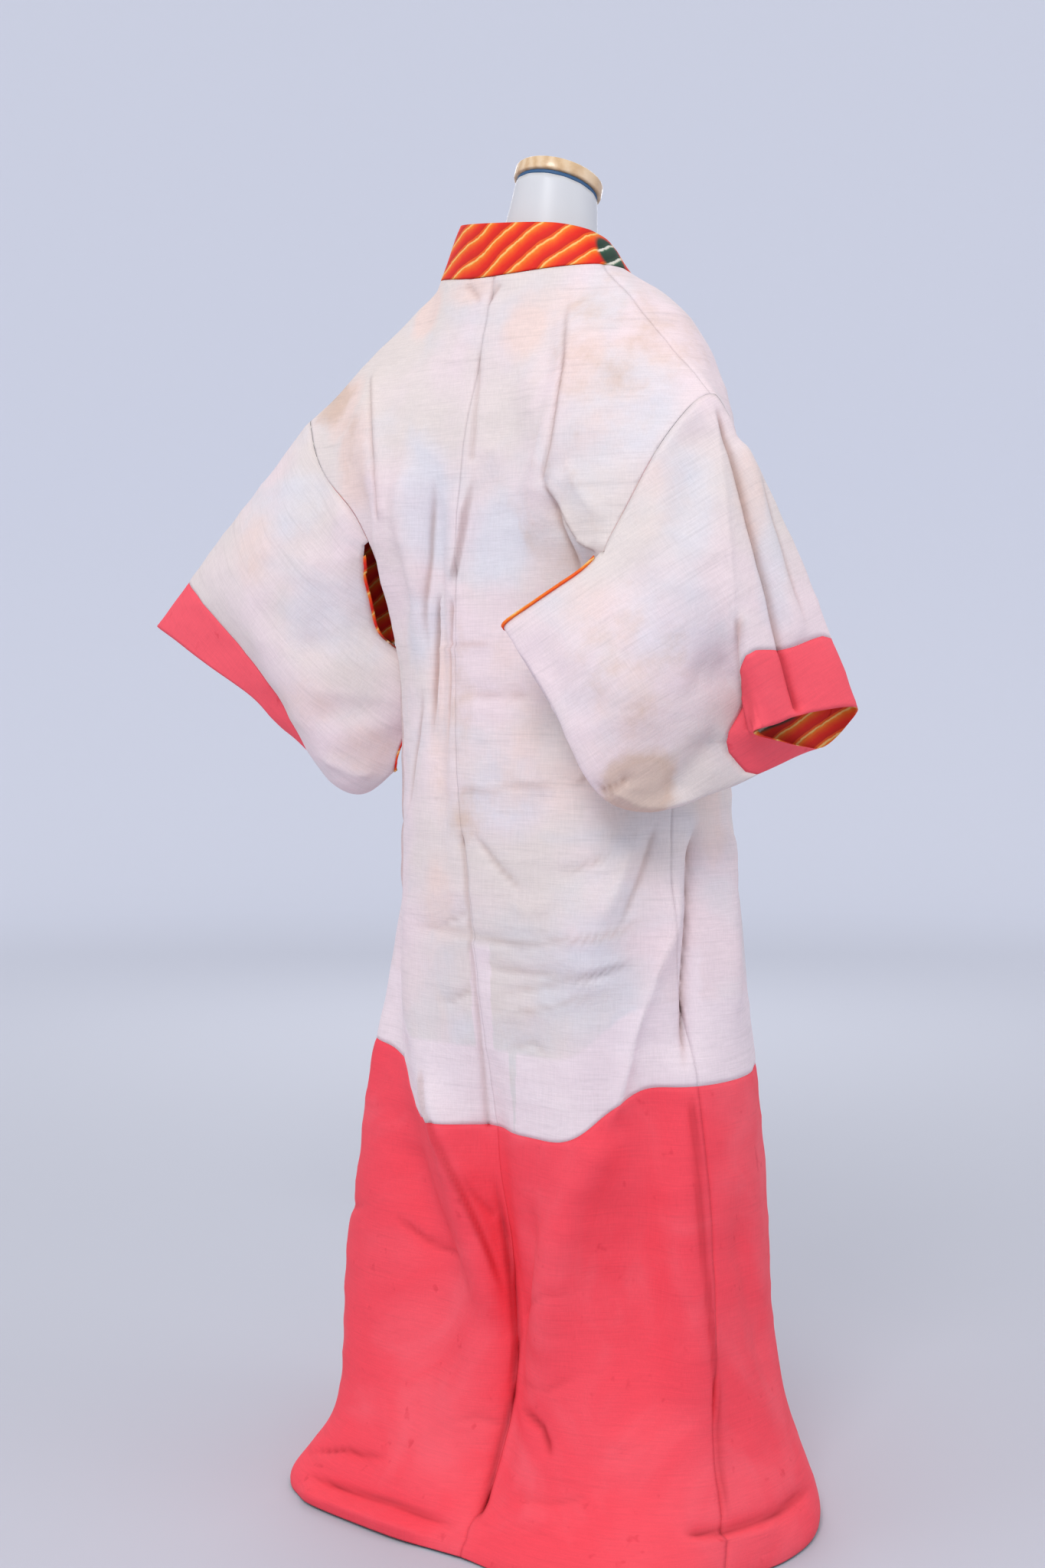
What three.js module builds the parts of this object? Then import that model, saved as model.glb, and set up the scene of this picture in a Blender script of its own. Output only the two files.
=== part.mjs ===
// A lined kimono worn inside out on a limbless dress form.
// Millimetres, +Z up. The form's front faces -Y, so the wearer's left is +X and the back is +Y.
// The origin is the centre of the stand's underside, on the floor.
import * as THREE from 'three';

// Driving sizes
const clothWall = 1.6;          // lining, filling seam and face cloth together
const collarWall = 2.4;         // the collar is folded double
const seamGap = 0.6;            // clear space between two pieces at a seam
const armholeTrim = 1.2;        // how far body and sleeve each stop short of their seam
const cuffTrim = 0.7;           // the same where the sleeve meets its cuff lining
const restGap = 0.3;            // clear space between stacked pieces of the form
const ringCentreY = -10;        // middle of the body tube, front to back
const okumiTop = 10 / 3;        // body row where the front's narrow overlap panel starts
const collarEndRow = 15;        // body row where the collar's ends are
const hemSeamRow = 23;          // body row where the coral hem lining starts
const cuffSeamSection = 6;      // sleeve section where the coral cuff lining starts
const pointsPerRun = 4;         // sleeve points from one named line to the next
const backColumns = 13;         // from the back seam to the side; the neck ends at a third
const frontColumns = 9;

// Small vector helpers on [x, y, z]
const add = (a, b) => [a[0] + b[0], a[1] + b[1], a[2] + b[2]];
const sub = (a, b) => [a[0] - b[0], a[1] - b[1], a[2] - b[2]];
const scale = (a, k) => [a[0] * k, a[1] * k, a[2] * k];
const size = (a) => Math.hypot(a[0], a[1], a[2]);
const unit = (a) => scale(a, 1 / (size(a) || 1));
const cross = (a, b) => [a[1] * b[2] - a[2] * b[1], a[2] * b[0] - a[0] * b[2], a[0] * b[1] - a[1] * b[0]];
const mix = (a, b, t) => add(scale(a, 1 - t), scale(b, t));
const clamp = (v, low, high) => Math.min(high, Math.max(low, v));
const range = (n) => Array.from({ length: n }, (_, i) => i);
const smooth = (edge0, edge1, v) => {
  const t = clamp((v - edge0) / (edge1 - edge0), 0, 1);
  return t * t * (3 - 2 * t);
};

// A smooth curve through points, read at t from 0 to points.length - 1, or round and round when closed
function through(points, t, closed = false) {
  const n = points.length;
  const at = (i) => {
    if (closed) return points[((i % n) + n) % n];
    if (i < 0) return sub(scale(points[0], 2), points[1]);
    if (i > n - 1) return sub(scale(points[n - 1], 2), points[n - 2]);
    return points[i];
  };
  const i = closed ? Math.floor(t) : clamp(Math.floor(t), 0, n - 2);
  const f = t - i;
  const [p0, p1, p2, p3] = [at(i - 1), at(i), at(i + 1), at(i + 2)];
  return [0, 1, 2].map((k) => 0.5 * (2 * p1[k] + (p2[k] - p0[k]) * f
    + (2 * p0[k] - 5 * p1[k] + 4 * p2[k] - p3[k]) * f * f
    + (3 * p1[k] - p0[k] - 3 * p2[k] + p3[k]) * f * f * f));
}

// The same for one number of a table's column, with straight runs between the rows
function columnAt(rows, key, t) {
  const i = clamp(Math.floor(t), 0, rows.length - 2);
  const f = clamp(t - i, 0, 1);
  return rows[i][key] * (1 - f) + rows[i + 1][key] * f;
}

// The body tube, one row for each level of cloth from the chest down to the floor.
// left, right, back and front: how far the cloth stands from the middle. boxy: how square the ring is.
// seam: where the back seam lies. drop: how far the back's cloth has slid down.
// side: the right side seam, in degrees round from the back.
// lap: where the left front's collar seam line runs, measured to the wearer's left.
const bodyLevels = [
  { z: 940, left: 194, right: 192, back: 138, front: 126, boxy: 2.3, seam: 40, drop: 15, side: -76, lap: 2 },
  { z: 840, left: 190, right: 194, back: 141, front: 128, boxy: 2.3, seam: 38, drop: 40, side: -74, lap: -34 },
  { z: 740, left: 188, right: 200, back: 142, front: 130, boxy: 2.3, seam: 20, drop: 58, side: -72, lap: -54 },
  { z: 645, left: 194, right: 208, back: 140, front: 134, boxy: 2.3, seam: 10, drop: 62, side: -72, lap: -60 },
  { z: 552, left: 214, right: 217, back: 136, front: 138, boxy: 2.3, seam: 4, drop: 60, side: -75, lap: -66 },
  { z: 476, left: 234, right: 226, back: 131, front: 143, boxy: 2.4, seam: 2, drop: 62, side: -77, lap: -70 },
  { z: 380, left: 266, right: 236, back: 128, front: 148, boxy: 2.6, seam: -6, drop: 52, side: -78, lap: -74 },
  { z: 290, left: 282, right: 242, back: 130, front: 152, boxy: 2.8, seam: -22, drop: 40, side: -78, lap: -78 },
  { z: 205, left: 288, right: 250, back: 142, front: 158, boxy: 2.9, seam: -38, drop: 26, side: -76, lap: -82 },
  { z: 130, left: 270, right: 264, back: 166, front: 166, boxy: 3.0, seam: -44, drop: 14, side: -73, lap: -86 },
  { z: 72, left: 252, right: 282, back: 194, front: 176, boxy: 3.2, seam: -52, drop: 6, side: -70, lap: -88 },
  { z: 38, left: 246, right: 292, back: 226, front: 184, boxy: 3.8, seam: -62, drop: 0, side: -68, lap: -90 },
  { z: 14, left: 254, right: 298, back: 256, front: 188, boxy: 4.6, seam: -70, drop: 0, side: -66, lap: -92 },
  { z: 2.4, left: 250, right: 296, back: 258, front: 186, boxy: 4.6, seam: -72, drop: 0, side: -66, lap: -92 },
];
const frontSquare = 2.4;
const sideLeft = 78;            // the left side seam, in degrees round from the back
const kickOut = 36;             // how far the hem buckles out on the floor at the right
const kickTop = 100;
const kickAt = -84;             // degrees round from the back
const kickWidth = 20;
const dropFull = 40;            // degrees either side of the back that slide down fully
const dropNone = 64;
const overlapLift = { left: -6, right: 4 };  // the left front lies over the right one
const collarWidth = 57;

function ringPoint(level, degrees) {
  const a = THREE.MathUtils.degToRad(degrees);
  const across = Math.sin(a) >= 0 ? level.left : level.right;
  const atBack = Math.cos(a) >= 0;
  const deep = atBack ? level.back : level.front;
  const turned = Math.abs(((degrees + 540) % 360) - 180);
  const n = level.boxy + (frontSquare - level.boxy) * smooth(60, 100, turned);
  const plain = 1 / (Math.abs(Math.sin(a) / across) ** n + Math.abs(Math.cos(a) / deep) ** n) ** (1 / n);
  const fromKick = (((degrees - kickAt + 540) % 360) - 180) / kickWidth;
  const kick = kickOut * smooth(kickTop, 10, level.z) * Math.exp(-fromKick * fromKick);
  const reach = plain + kick;
  const fallen = level.drop * (1 - smooth(dropFull, dropNone, turned));
  return [reach * Math.sin(a), ringCentreY + reach * Math.cos(a), level.z - fallen];
}
const degreesAt = (x, y) => THREE.MathUtils.radToDeg(Math.atan2(x, y));

// The sleeves, one row for each section from the body seam out to the cuff.
// top is the fold along the arm. The others follow the back layer down, the bottom and the front layer.
const leftSleeve = [
  { top: [300, 83, 1190], backUp: [252, 112, 1125], backLow: [193, 108, 1062], furi: [208, 56, 950],
    bottom: [220, 32, 786], under: [252, 0, 860], frontLow: [262, -2, 1020], frontUp: [296, 36, 1112] },
  { top: [366, 90, 1125], backUp: [338, 132, 1056], backLow: [292, 136, 972], furi: [254, 104, 852],
    bottom: [252, 48, 757], under: [286, 10, 840], frontLow: [326, 6, 956], frontUp: [360, 40, 1056] },
  { top: [428, 97, 1066], backUp: [398, 134, 1010], backLow: [350, 132, 944], furi: [300, 110, 850],
    bottom: [284, 62, 768], under: [314, 22, 836], frontLow: [356, 18, 922], frontUp: [408, 48, 1004] },
  { top: [487, 104, 1007], backUp: [442, 124, 982], backLow: [390, 114, 934], furi: [343, 98, 876],
    bottom: [316, 70, 806], under: [338, 36, 852], frontLow: [390, 34, 914], frontUp: [446, 58, 964] },
  { top: [540, 110, 955], backUp: [496, 122, 938], backLow: [436, 116, 905], furi: [386, 98, 872],
    bottom: [350, 70, 827], under: [370, 46, 850], frontLow: [424, 46, 884], frontUp: [496, 68, 924] },
];
const rightSleeve = [
  { top: [-262, 82, 1180], backUp: [-228, 124, 1124], backLow: [-182, 154, 1025], furi: [-136, 184, 982],
    bottom: [-89, 197, 946], under: [-196, 138, 960], frontLow: [-234, 6, 1020], frontUp: [-262, 32, 1106] },
  { top: [-286, 65, 1102], backUp: [-272, 106, 1052], backLow: [-240, 158, 962], furi: [-190, 186, 890],
    bottom: [-154, 180, 850], under: [-226, 100, 868], frontLow: [-272, 6, 950], frontUp: [-280, 22, 1094] },
  { top: [-303, 53, 1022], backUp: [-292, 92, 1000], backLow: [-262, 126, 916], furi: [-222, 160, 816],
    bottom: [-197, 145, 760], under: [-271, 16, 813], frontLow: [-300, -10, 890], frontUp: [-308, -4, 1020] },
  { top: [-321, 39, 927], backUp: [-306, 84, 922], backLow: [-282, 52, 876], furi: [-264, 60, 834],
    bottom: [-273, 19, 800], under: [-299, -36, 838], frontLow: [-324, -46, 872], frontUp: [-334, -24, 938] },
  { top: [-334, 28, 862], backUp: [-323, 56, 853], backLow: [-309, 76, 845], furi: [-307, 26, 836],
    bottom: [-304, -24, 828], under: [-306, -58, 826], frontLow: [-330, -60, 847], frontUp: [-353, -40, 868] },
];
const sleeveRows = { left: leftSleeve, right: rightSleeve };
const sectionOrder = ['top', 'backUp', 'backLow', 'furi', 'bottom', 'under', 'frontLow', 'frontUp'];
const sectionsPerRow = 2;

// A point of the seam that joins sleeve and body: 0 on the shoulder, plus down the back, minus down the front
function armholePoint(side, along) {
  const n = sectionOrder.length;
  return through(sectionOrder.map((key) => sleeveRows[side][0][key]), (along + n) % n, true);
}

function sleeveGrid(side) {
  const rows = sleeveRows[side];
  const around = range(sectionOrder.length * pointsPerRun).map((j) => j / pointsPerRun);
  const loops = rows.map((row) => around.map((t) => through(sectionOrder.map((key) => row[key]), t, true)));
  const count = (rows.length - 1) * sectionsPerRow + 1;
  const grid = range(count).map((i) => around.map((_, j) => (
    through(loops.map((loop) => loop[j]), i / sectionsPerRow))));
  return side === 'left' ? grid.map((row) => row.slice().reverse()) : grid;
}

// The yoke: rows of cloth from the shoulder fold down to the chest, each side of the neck.
// armhole is where the row meets the sleeve's seam, edge is its end below that seam.
// collar is the collar's seam and inner its folded edge.
const backYoke = {
  left: [
    { neck: [120, 60, 1330], shoulder: [202, 76, 1262], armhole: 0 },
    { centre: [12, 120, 1222], neck: [104, 114, 1222], shoulder: [182, 114, 1186], armhole: 1 },
    { centre: [26, 127, 1125], neck: [92, 134, 1125], shoulder: [146, 128, 1105], armhole: 2 },
    { centre: [34, 130, 1030], neck: [92, 130, 1030], shoulder: [152, 114, 1020], edge: [190, 76, 1000] },
  ],
  right: [
    { neck: [-112, 62, 1324], shoulder: [-188, 80, 1260], armhole: 0 },
    { centre: [12, 120, 1222], neck: [-78, 124, 1225], shoulder: [-165, 126, 1190], armhole: 1 },
    { centre: [26, 127, 1125], neck: [-70, 138, 1115], shoulder: [-130, 150, 1080], armhole: 2 },
    { centre: [34, 130, 1030], neck: [-48, 128, 1020], shoulder: [-118, 124, 1000], edge: [-182, 92, 975] },
  ],
};
const frontYoke = {
  left: [
    { armhole: 0, shoulder: [202, 76, 1262], collar: [120, 60, 1330], inner: [91, 54, 1386] },
    { armhole: -0.5, shoulder: [196, 10, 1276], collar: [108, 2, 1318], inner: [80, -4, 1364] },
    { armhole: -1, shoulder: [190, -60, 1212], collar: [86, -66, 1256], inner: [46, -74, 1296] },
    { armhole: -2, shoulder: [168, -96, 1115], collar: [58, -112, 1172], inner: [8, -122, 1194] },
  ],
  right: [
    { armhole: 0, shoulder: [-188, 80, 1260], collar: [-112, 62, 1324], inner: [-86, 56, 1362] },
    { armhole: -0.5, shoulder: [-184, 18, 1272], collar: [-106, 4, 1316], inner: [-76, 2, 1352] },
    { armhole: -1, shoulder: [-178, -50, 1212], collar: [-84, -60, 1254], inner: [-46, -62, 1294] },
    { armhole: -2, shoulder: [-160, -90, 1115], collar: [-54, -100, 1170], inner: [-6, -108, 1194] },
  ],
};
// The collar where it stands up behind the neck, from the wearer's left to right
const collarBack = [
  { seam: frontYoke.left[0].collar, inner: frontYoke.left[0].inner },
  { seam: [96, 80, 1328], inner: [76, 74, 1384] },
  { seam: [50, 100, 1320], inner: [40, 98, 1378] },
  { seam: [0, 110, 1317], inner: [0, 106, 1373] },
  { seam: [-48, 101, 1320], inner: [-42, 96, 1371] },
  { seam: [-90, 82, 1324], inner: [-72, 76, 1368] },
  { seam: frontYoke.right[0].collar, inner: frontYoke.right[0].inner },
];
const collarMiddle = 3;

// Body rows: how each span between two rows of the tables is shared out
const spanCuts = [3, 3, 3, 3, 2, 'collarEnd', 2, 2, 2, 2, 2, 2, 2, 2, 1, 1, 1];
const rowStops = [0];
spanCuts.forEach((cut, k) => {
  const shares = cut === 'collarEnd' ? [0.5, 0.57, 1] : range(cut).map((i) => (i + 1) / cut);
  for (const share of shares) rowStops.push(k + share);
});

// How much of a front's width belongs to the wide panel; the rest is the narrow overlap panel
const okumiShares = [{ s: 0.965 }, { s: 0.84 }, { s: 0.77 }, { s: 0.74 }, { s: 0.73 }];
function okumiShare(t) {
  const at = t < 4 ? (t - okumiTop) / (4 - okumiTop) : 1 + (t - 4);
  return columnAt(okumiShares, 's', at);
}

// The shoulder fold from the armhole (0) to the neck (1), shared by back and front
function shoulderFold(side, share) {
  const row = backYoke[side][0];
  return through([armholePoint(side, 0), row.shoulder, row.neck], share * 2);
}

// The side seam from the end of the armhole slit down
function sideSeam(side, t) {
  const points = bodyLevels.map((level) => ringPoint(level, side === 'left' ? sideLeft : level.side));
  return through(points, t - 4);
}

function backAt(side, t, u) {
  if (u === 1 && t <= 2) return armholePoint(side, t);
  if (u === 1 && t >= 4) return sideSeam(side, t);
  const toNeck = u * 3 * collarMiddle * (side === 'left' ? -1 : 1);
  const first = u > 1 / 3 ? shoulderFold(side, (1 - u) * 1.5)
    : through(collarBack.map((row) => row.seam), collarMiddle + toNeck);
  const keys = [first, ...backYoke[side].slice(1).map((row) => through([row.centre, row.neck, row.shoulder,
    row.edge ?? armholePoint(side, row.armhole)], u * 3))];
  for (const level of bodyLevels) {
    const from = degreesAt(level.seam, level.back);
    const to = side === 'left' ? sideLeft : level.side;
    keys.push(ringPoint(level, from + (to - from) * u));
  }
  return through(keys, t);
}

// s runs from the side (0) to the collar seam (1) and on over the collar's width (2)
function frontAt(side, t, s) {
  if (s === 0 && t <= 3) return armholePoint(side, columnAt(frontYoke[side], 'armhole', t));
  if (s === 0 && t >= 4) return sideSeam(side, t);
  const sign = side === 'left' ? 1 : -1;
  const over = clamp(s - 1, 0, 1);
  const share = Math.min(s, 1);
  const keys = frontYoke[side].map((row) => {
    if (over > 0) return mix(row.collar, row.inner, over);
    return through([armholePoint(side, row.armhole), row.shoulder, row.collar], share * 2);
  });
  if (over === 0) keys[0] = shoulderFold(side, share);
  for (const level of bodyLevels) {
    const from = side === 'left' ? sideLeft : -level.side;
    const seamX = level.lap - over * collarWidth;
    const to = degreesAt(seamX, -level.front) + (seamX < 0 ? 360 : 0);
    const p = ringPoint(level, sign * (from + (to - from) * share));
    p[1] += overlapLift[side] * smooth(0.2, 0.7, share);
    keys.push(p);
  }
  return through(keys, t);
}

// Large folds of the back. u runs from the back seam (0) to the left side (1) or the right side (-1).
const folds = [
  { name: 'rightFlap', u0: -0.36, z0: 1280, u1: -0.46, z1: 1090, depth: 15, width: 28, fade: 40 },
  { name: 'rightFlapValley', u0: -0.18, z0: 1220, u1: -0.26, z1: 1080, depth: -8, width: 24, fade: 60 },
  { name: 'leftRidge', u0: 0.66, z0: 1210, u1: 0.76, z1: 960, depth: 12, width: 22, fade: 60 },
  { name: 'seamPleat', u0: 0.16, z0: 1040, u1: 0.20, z1: 800, depth: -12, width: 20, fade: 70 },
  { name: 'seamTuck', u0: 0.02, z0: 1150, u1: 0.05, z1: 1010, depth: 8, width: 14, fade: 60 },
  { name: 'rightHang', u0: -0.82, z0: 700, u1: -0.36, z1: 230, depth: 14, width: 44, fade: 120 },
  { name: 'rightSideValley', u0: -0.97, z0: 700, u1: -0.72, z1: 260, depth: -20, width: 40, fade: 120 },
  { name: 'leftHang', u0: 0.62, z0: 560, u1: 0.12, z1: 230, depth: 10, width: 40, fade: 120 },
  { name: 'leftHangValley', u0: 0.82, z0: 520, u1: 0.44, z1: 200, depth: -18, width: 38, fade: 120 },
  { name: 'seamValley', u0: 0.0, z0: 400, u1: -0.02, z1: 110, depth: -22, width: 36, fade: 100 },
];
const backWidth = 270;
function foldOut(u, z) {
  let out = 0;
  for (const fold of folds) {
    const share = (z - fold.z0) / (fold.z1 - fold.z0);
    const line = fold.u0 + (fold.u1 - fold.u0) * clamp(share, 0, 1);
    const past = Math.max(z - fold.z0, fold.z1 - z, 0);
    const away = ((u - line) * backWidth) / fold.width;
    out += fold.depth * Math.exp(-away * away) * Math.exp(-((past / fold.fade) ** 2));
  }
  return out;
}

// A piece of cloth: a grid of points and the outward direction at each
function clothOf(grid, around = false) {
  const rows = grid.length;
  const cols = grid[0].length;
  const normals = grid.map((row, i) => row.map((_, j) => {
    const up = grid[Math.max(i - 1, 0)][j];
    const down = grid[Math.min(i + 1, rows - 1)][j];
    const before = around ? row[(j - 1 + cols) % cols] : row[Math.max(j - 1, 0)];
    const after = around ? row[(j + 1) % cols] : row[Math.min(j + 1, cols - 1)];
    return unit(cross(sub(after, before), sub(down, up)));
  }));
  return { grid, normals, around };
}
const cutRows = ({ grid, normals, around }, from, to) => (
  { grid: grid.slice(from, to), normals: normals.slice(from, to), around });

// Gives two pieces one outward direction where they are sewn together, so that their edges stay parallel
function mitre(pieceA, cellA, pieceB, cellB) {
  const a = pieceA.normals[cellA[0]];
  const b = pieceB.normals[cellB[0]];
  const shared = unit(add(a[cellA[1]], b[cellB[1]]));
  a[cellA[1]] = shared;
  b[cellB[1]] = shared;
}

// Pulls a piece's open edges in, so that the next piece has room
function trimmed(piece, { start = 0, end = 0, first = 0, last = 0 }) {
  const towards = (p, q, gap) => add(p, scale(unit(sub(q, p)), gap));
  const grid = piece.grid.map((row) => row.slice());
  const rows = grid.length;
  const cols = grid[0].length;
  for (const row of grid) {
    if (first) row[0] = towards(row[0], row[1], first);
    if (last) row[cols - 1] = towards(row[cols - 1], row[cols - 2], last);
  }
  for (let j = 0; j < cols; j += 1) {
    if (start) grid[0][j] = towards(grid[0][j], grid[1][j], start);
    if (end) grid[rows - 1][j] = towards(grid[rows - 1][j], grid[rows - 2][j], end);
  }
  return { ...piece, grid };
}

// A closed solid wall on a piece of cloth
function wallGeometry({ grid, normals, around }, thickness) {
  const rows = grid.length;
  const cols = grid[0].length;
  const positions = [];
  for (const side of [0.5, -0.5]) {
    grid.forEach((row, i) => row.forEach((p, j) => {
      positions.push(...add(p, scale(normals[i][j], side * thickness)));
    }));
  }
  const outer = (i, j) => i * cols + (j % cols);
  const inner = (i, j) => rows * cols + outer(i, j);
  const faces = [];
  const quad = (a, b, c, d) => faces.push(a, b, c, a, c, d);
  const spans = around ? cols : cols - 1;
  for (let i = 0; i < rows - 1; i += 1) {
    for (let j = 0; j < spans; j += 1) {
      quad(outer(i, j), outer(i, j + 1), outer(i + 1, j + 1), outer(i + 1, j));
      quad(inner(i, j), inner(i + 1, j), inner(i + 1, j + 1), inner(i, j + 1));
    }
  }
  for (let j = 0; j < spans; j += 1) {
    quad(outer(0, j), inner(0, j), inner(0, j + 1), outer(0, j + 1));
    quad(outer(rows - 1, j), outer(rows - 1, j + 1), inner(rows - 1, j + 1), inner(rows - 1, j));
  }
  if (!around) {
    for (let i = 0; i < rows - 1; i += 1) {
      quad(outer(i, 0), outer(i + 1, 0), inner(i + 1, 0), inner(i, 0));
      quad(outer(i, cols - 1), inner(i, cols - 1), inner(i + 1, cols - 1), outer(i + 1, cols - 1));
    }
  }
  const geometry = new THREE.BufferGeometry();
  geometry.setAttribute('position', new THREE.Float32BufferAttribute(positions, 3));
  geometry.setIndex(faces);
  return geometry;
}

const colours = {
  lining: [0xeadfdf, 0.85, 0],
  coral: [0xf0525e, 0.8, 0],
  face: [0xe23a1c, 0.55, 0],
  formWhite: [0xeef1f2, 0.6, 0],
  capWood: [0xd9b184, 0.5, 0],
  bandBlue: [0x3c6f9a, 0.5, 0],
  standSteel: [0xb9bcc0, 0.3, 1],
};
const kimono = new THREE.Group();
function place(name, geometry, colour) {
  const [color, roughness, metalness] = colours[colour];
  const mesh = new THREE.Mesh(geometry, new THREE.MeshStandardMaterial({ color, roughness, metalness }));
  mesh.name = name;
  kimono.add(mesh);
  return mesh;
}

// Upper lining and coral hem lining are sewn together along one row
function placePanel(name, piece, edges, seamRow = hemSeamRow) {
  const upper = trimmed(cutRows(piece, 0, seamRow + 1), { ...edges, end: seamGap / 2 });
  const lower = trimmed(cutRows(piece, seamRow), { ...edges, start: seamGap / 2, end: 0 });
  place(`${name}_lining`, wallGeometry(upper, clothWall), 'lining');
  place(`${name}_hem`, wallGeometry(lower, clothWall), 'coral');
}

// The back, one panel each side of the back seam
function backPanel(side) {
  const shares = range(backColumns).map((j) => j / (backColumns - 1));
  const turned = side === 'right';
  const plain = clothOf(rowStops.map((t) => shares.map((u) => backAt(side, t, turned ? 1 - u : u))));
  return clothOf(plain.grid.map((row, i) => row.map((p, j) => {
    const u = turned ? shares[j] - 1 : shares[j];
    const still = smooth(0, 1.5, rowStops[i]) * smooth(1, 0.85, Math.abs(u));
    const out = foldOut(u, p[2]) * still;
    return u === 0 ? [p[0], p[1] + out, p[2]] : add(p, scale(plain.normals[i][j], out));
  })));
}

// The fronts, each a wide panel and a narrow overlap panel
const okumiRow = rowStops.findIndex((t) => t > okumiTop - 0.01);
const innerShare = (i) => (i < okumiRow ? 1 : okumiShare(rowStops[i]));
const turnedFor = (side, grid) => (side === 'left' ? grid : grid.map((row) => row.slice().reverse()));
const widePanel = (side) => clothOf(turnedFor(side, rowStops.map((t, i) => range(frontColumns).map((j) => (
  frontAt(side, t, (innerShare(i) * j) / (frontColumns - 1)))))));
const okumiColumns = 5;
const narrowPanel = (side) => clothOf(turnedFor(side, rowStops.slice(okumiRow).map((t, k) => {
  const from = innerShare(okumiRow + k);
  const to = okumiRow + k <= collarEndRow ? 1 : 2;
  return range(okumiColumns).map((j) => frontAt(side, t, from + ((to - from) * j) / (okumiColumns - 1)));
})));

const back = { left: backPanel('left'), right: backPanel('right') };
const wide = { left: widePanel('left'), right: widePanel('right') };
const narrow = { left: narrowPanel('left'), right: narrowPanel('right') };
const lastBack = backColumns - 1;
const lastFront = frontColumns - 1;
rowStops.forEach((t, i) => {
  mitre(back.left, [i, 0], back.right, [i, lastBack]);
  if (t >= 4) mitre(back.left, [i, lastBack], wide.left, [i, 0]);
  if (t >= 4) mitre(back.right, [i, 0], wide.right, [i, lastFront]);
  if (i >= okumiRow) mitre(wide.left, [i, lastFront], narrow.left, [i - okumiRow, 0]);
  if (i >= okumiRow) mitre(wide.right, [i, 0], narrow.right, [i - okumiRow, okumiColumns - 1]);
});
for (const j of range(frontColumns)) {
  mitre(back.left, [0, lastBack - j], wide.left, [0, j]);
  mitre(back.right, [0, j], wide.right, [0, lastFront - j]);
}

// The collar, up the left front, round the neck and down the right front
const collarColumns = 4;
const neckSpans = 8;
const collarFront = (side) => range(collarEndRow + 1).map((i) => range(collarColumns).map((j) => (
  frontAt(side, rowStops[i], 1 + j / (collarColumns - 1)))));
const collarRound = range(neckSpans).slice(1).map((i) => {
  const t = (i / neckSpans) * (collarBack.length - 1);
  const seam = through(collarBack.map((row) => row.seam), t);
  const inner = through(collarBack.map((row) => row.inner), t);
  return range(collarColumns).map((j) => mix(seam, inner, j / (collarColumns - 1)));
});
const collar = clothOf([...collarFront('left').reverse(), ...collarRound, ...collarFront('right')]);

const half = seamGap / 2;
placePanel('back_left', back.left, { start: half, first: half, last: armholeTrim });
placePanel('back_right', back.right, { start: half, first: armholeTrim, last: half });
placePanel('front_left', wide.left, { start: half, first: armholeTrim, last: half });
placePanel('front_right', wide.right, { start: half, first: half, last: armholeTrim });
placePanel('okumi_left', narrow.left, { start: half, first: half, last: half }, hemSeamRow - okumiRow);
placePanel('okumi_right', narrow.right, { start: half, first: half, last: half }, hemSeamRow - okumiRow);
place('collar', wallGeometry(trimmed(collar, { start: half, end: half, first: seamGap }), collarWall), 'face');

// The sleeves, with coral cuff linings
for (const side of ['left', 'right']) {
  const whole = clothOf(sleeveGrid(side), true);
  const sleeve = trimmed(cutRows(whole, 0, cuffSeamSection + 1), { start: armholeTrim, end: cuffTrim });
  const cuff = trimmed(cutRows(whole, cuffSeamSection), { start: cuffTrim });
  place(`sleeve_${side}`, wallGeometry(sleeve, clothWall), 'lining');
  place(`cuff_${side}`, wallGeometry(cuff, clothWall), 'coral');
}

// The dress form: rings up the torso and neck. lean tips a ring forwards, in degrees.
const formRings = [
  { z: 640, half: 138, deep: 92, y: -8, lean: 0 },
  { z: 660, half: 152, deep: 102, y: -8, lean: 0 },
  { z: 760, half: 166, deep: 112, y: -8, lean: 0 },
  { z: 850, half: 148, deep: 102, y: -8, lean: 0 },
  { z: 950, half: 124, deep: 90, y: -6, lean: 0 },
  { z: 1030, half: 132, deep: 98, y: -6, lean: 0 },
  { z: 1110, half: 156, deep: 105, y: -3, lean: 0 },
  { z: 1180, half: 178, deep: 100, y: 8, lean: 0 },
  { z: 1222, half: 184, deep: 92, y: 18, lean: 0 },
  { z: 1256, half: 174, deep: 84.5, y: 28.8, lean: 0 },
  { z: 1284, half: 138, deep: 72, y: 32, lean: 0 },
  { z: 1308, half: 98, deep: 62, y: 32, lean: 0 },
  { z: 1334, half: 66, deep: 56, y: 24, lean: 4 },
  { z: 1368, half: 52, deep: 51, y: 16, lean: 10 },
  { z: 1398, half: 47, deep: 48, y: 9, lean: 15 },
  { z: 1420, half: 44, deep: 46, y: 5, lean: 18 },
];
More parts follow.
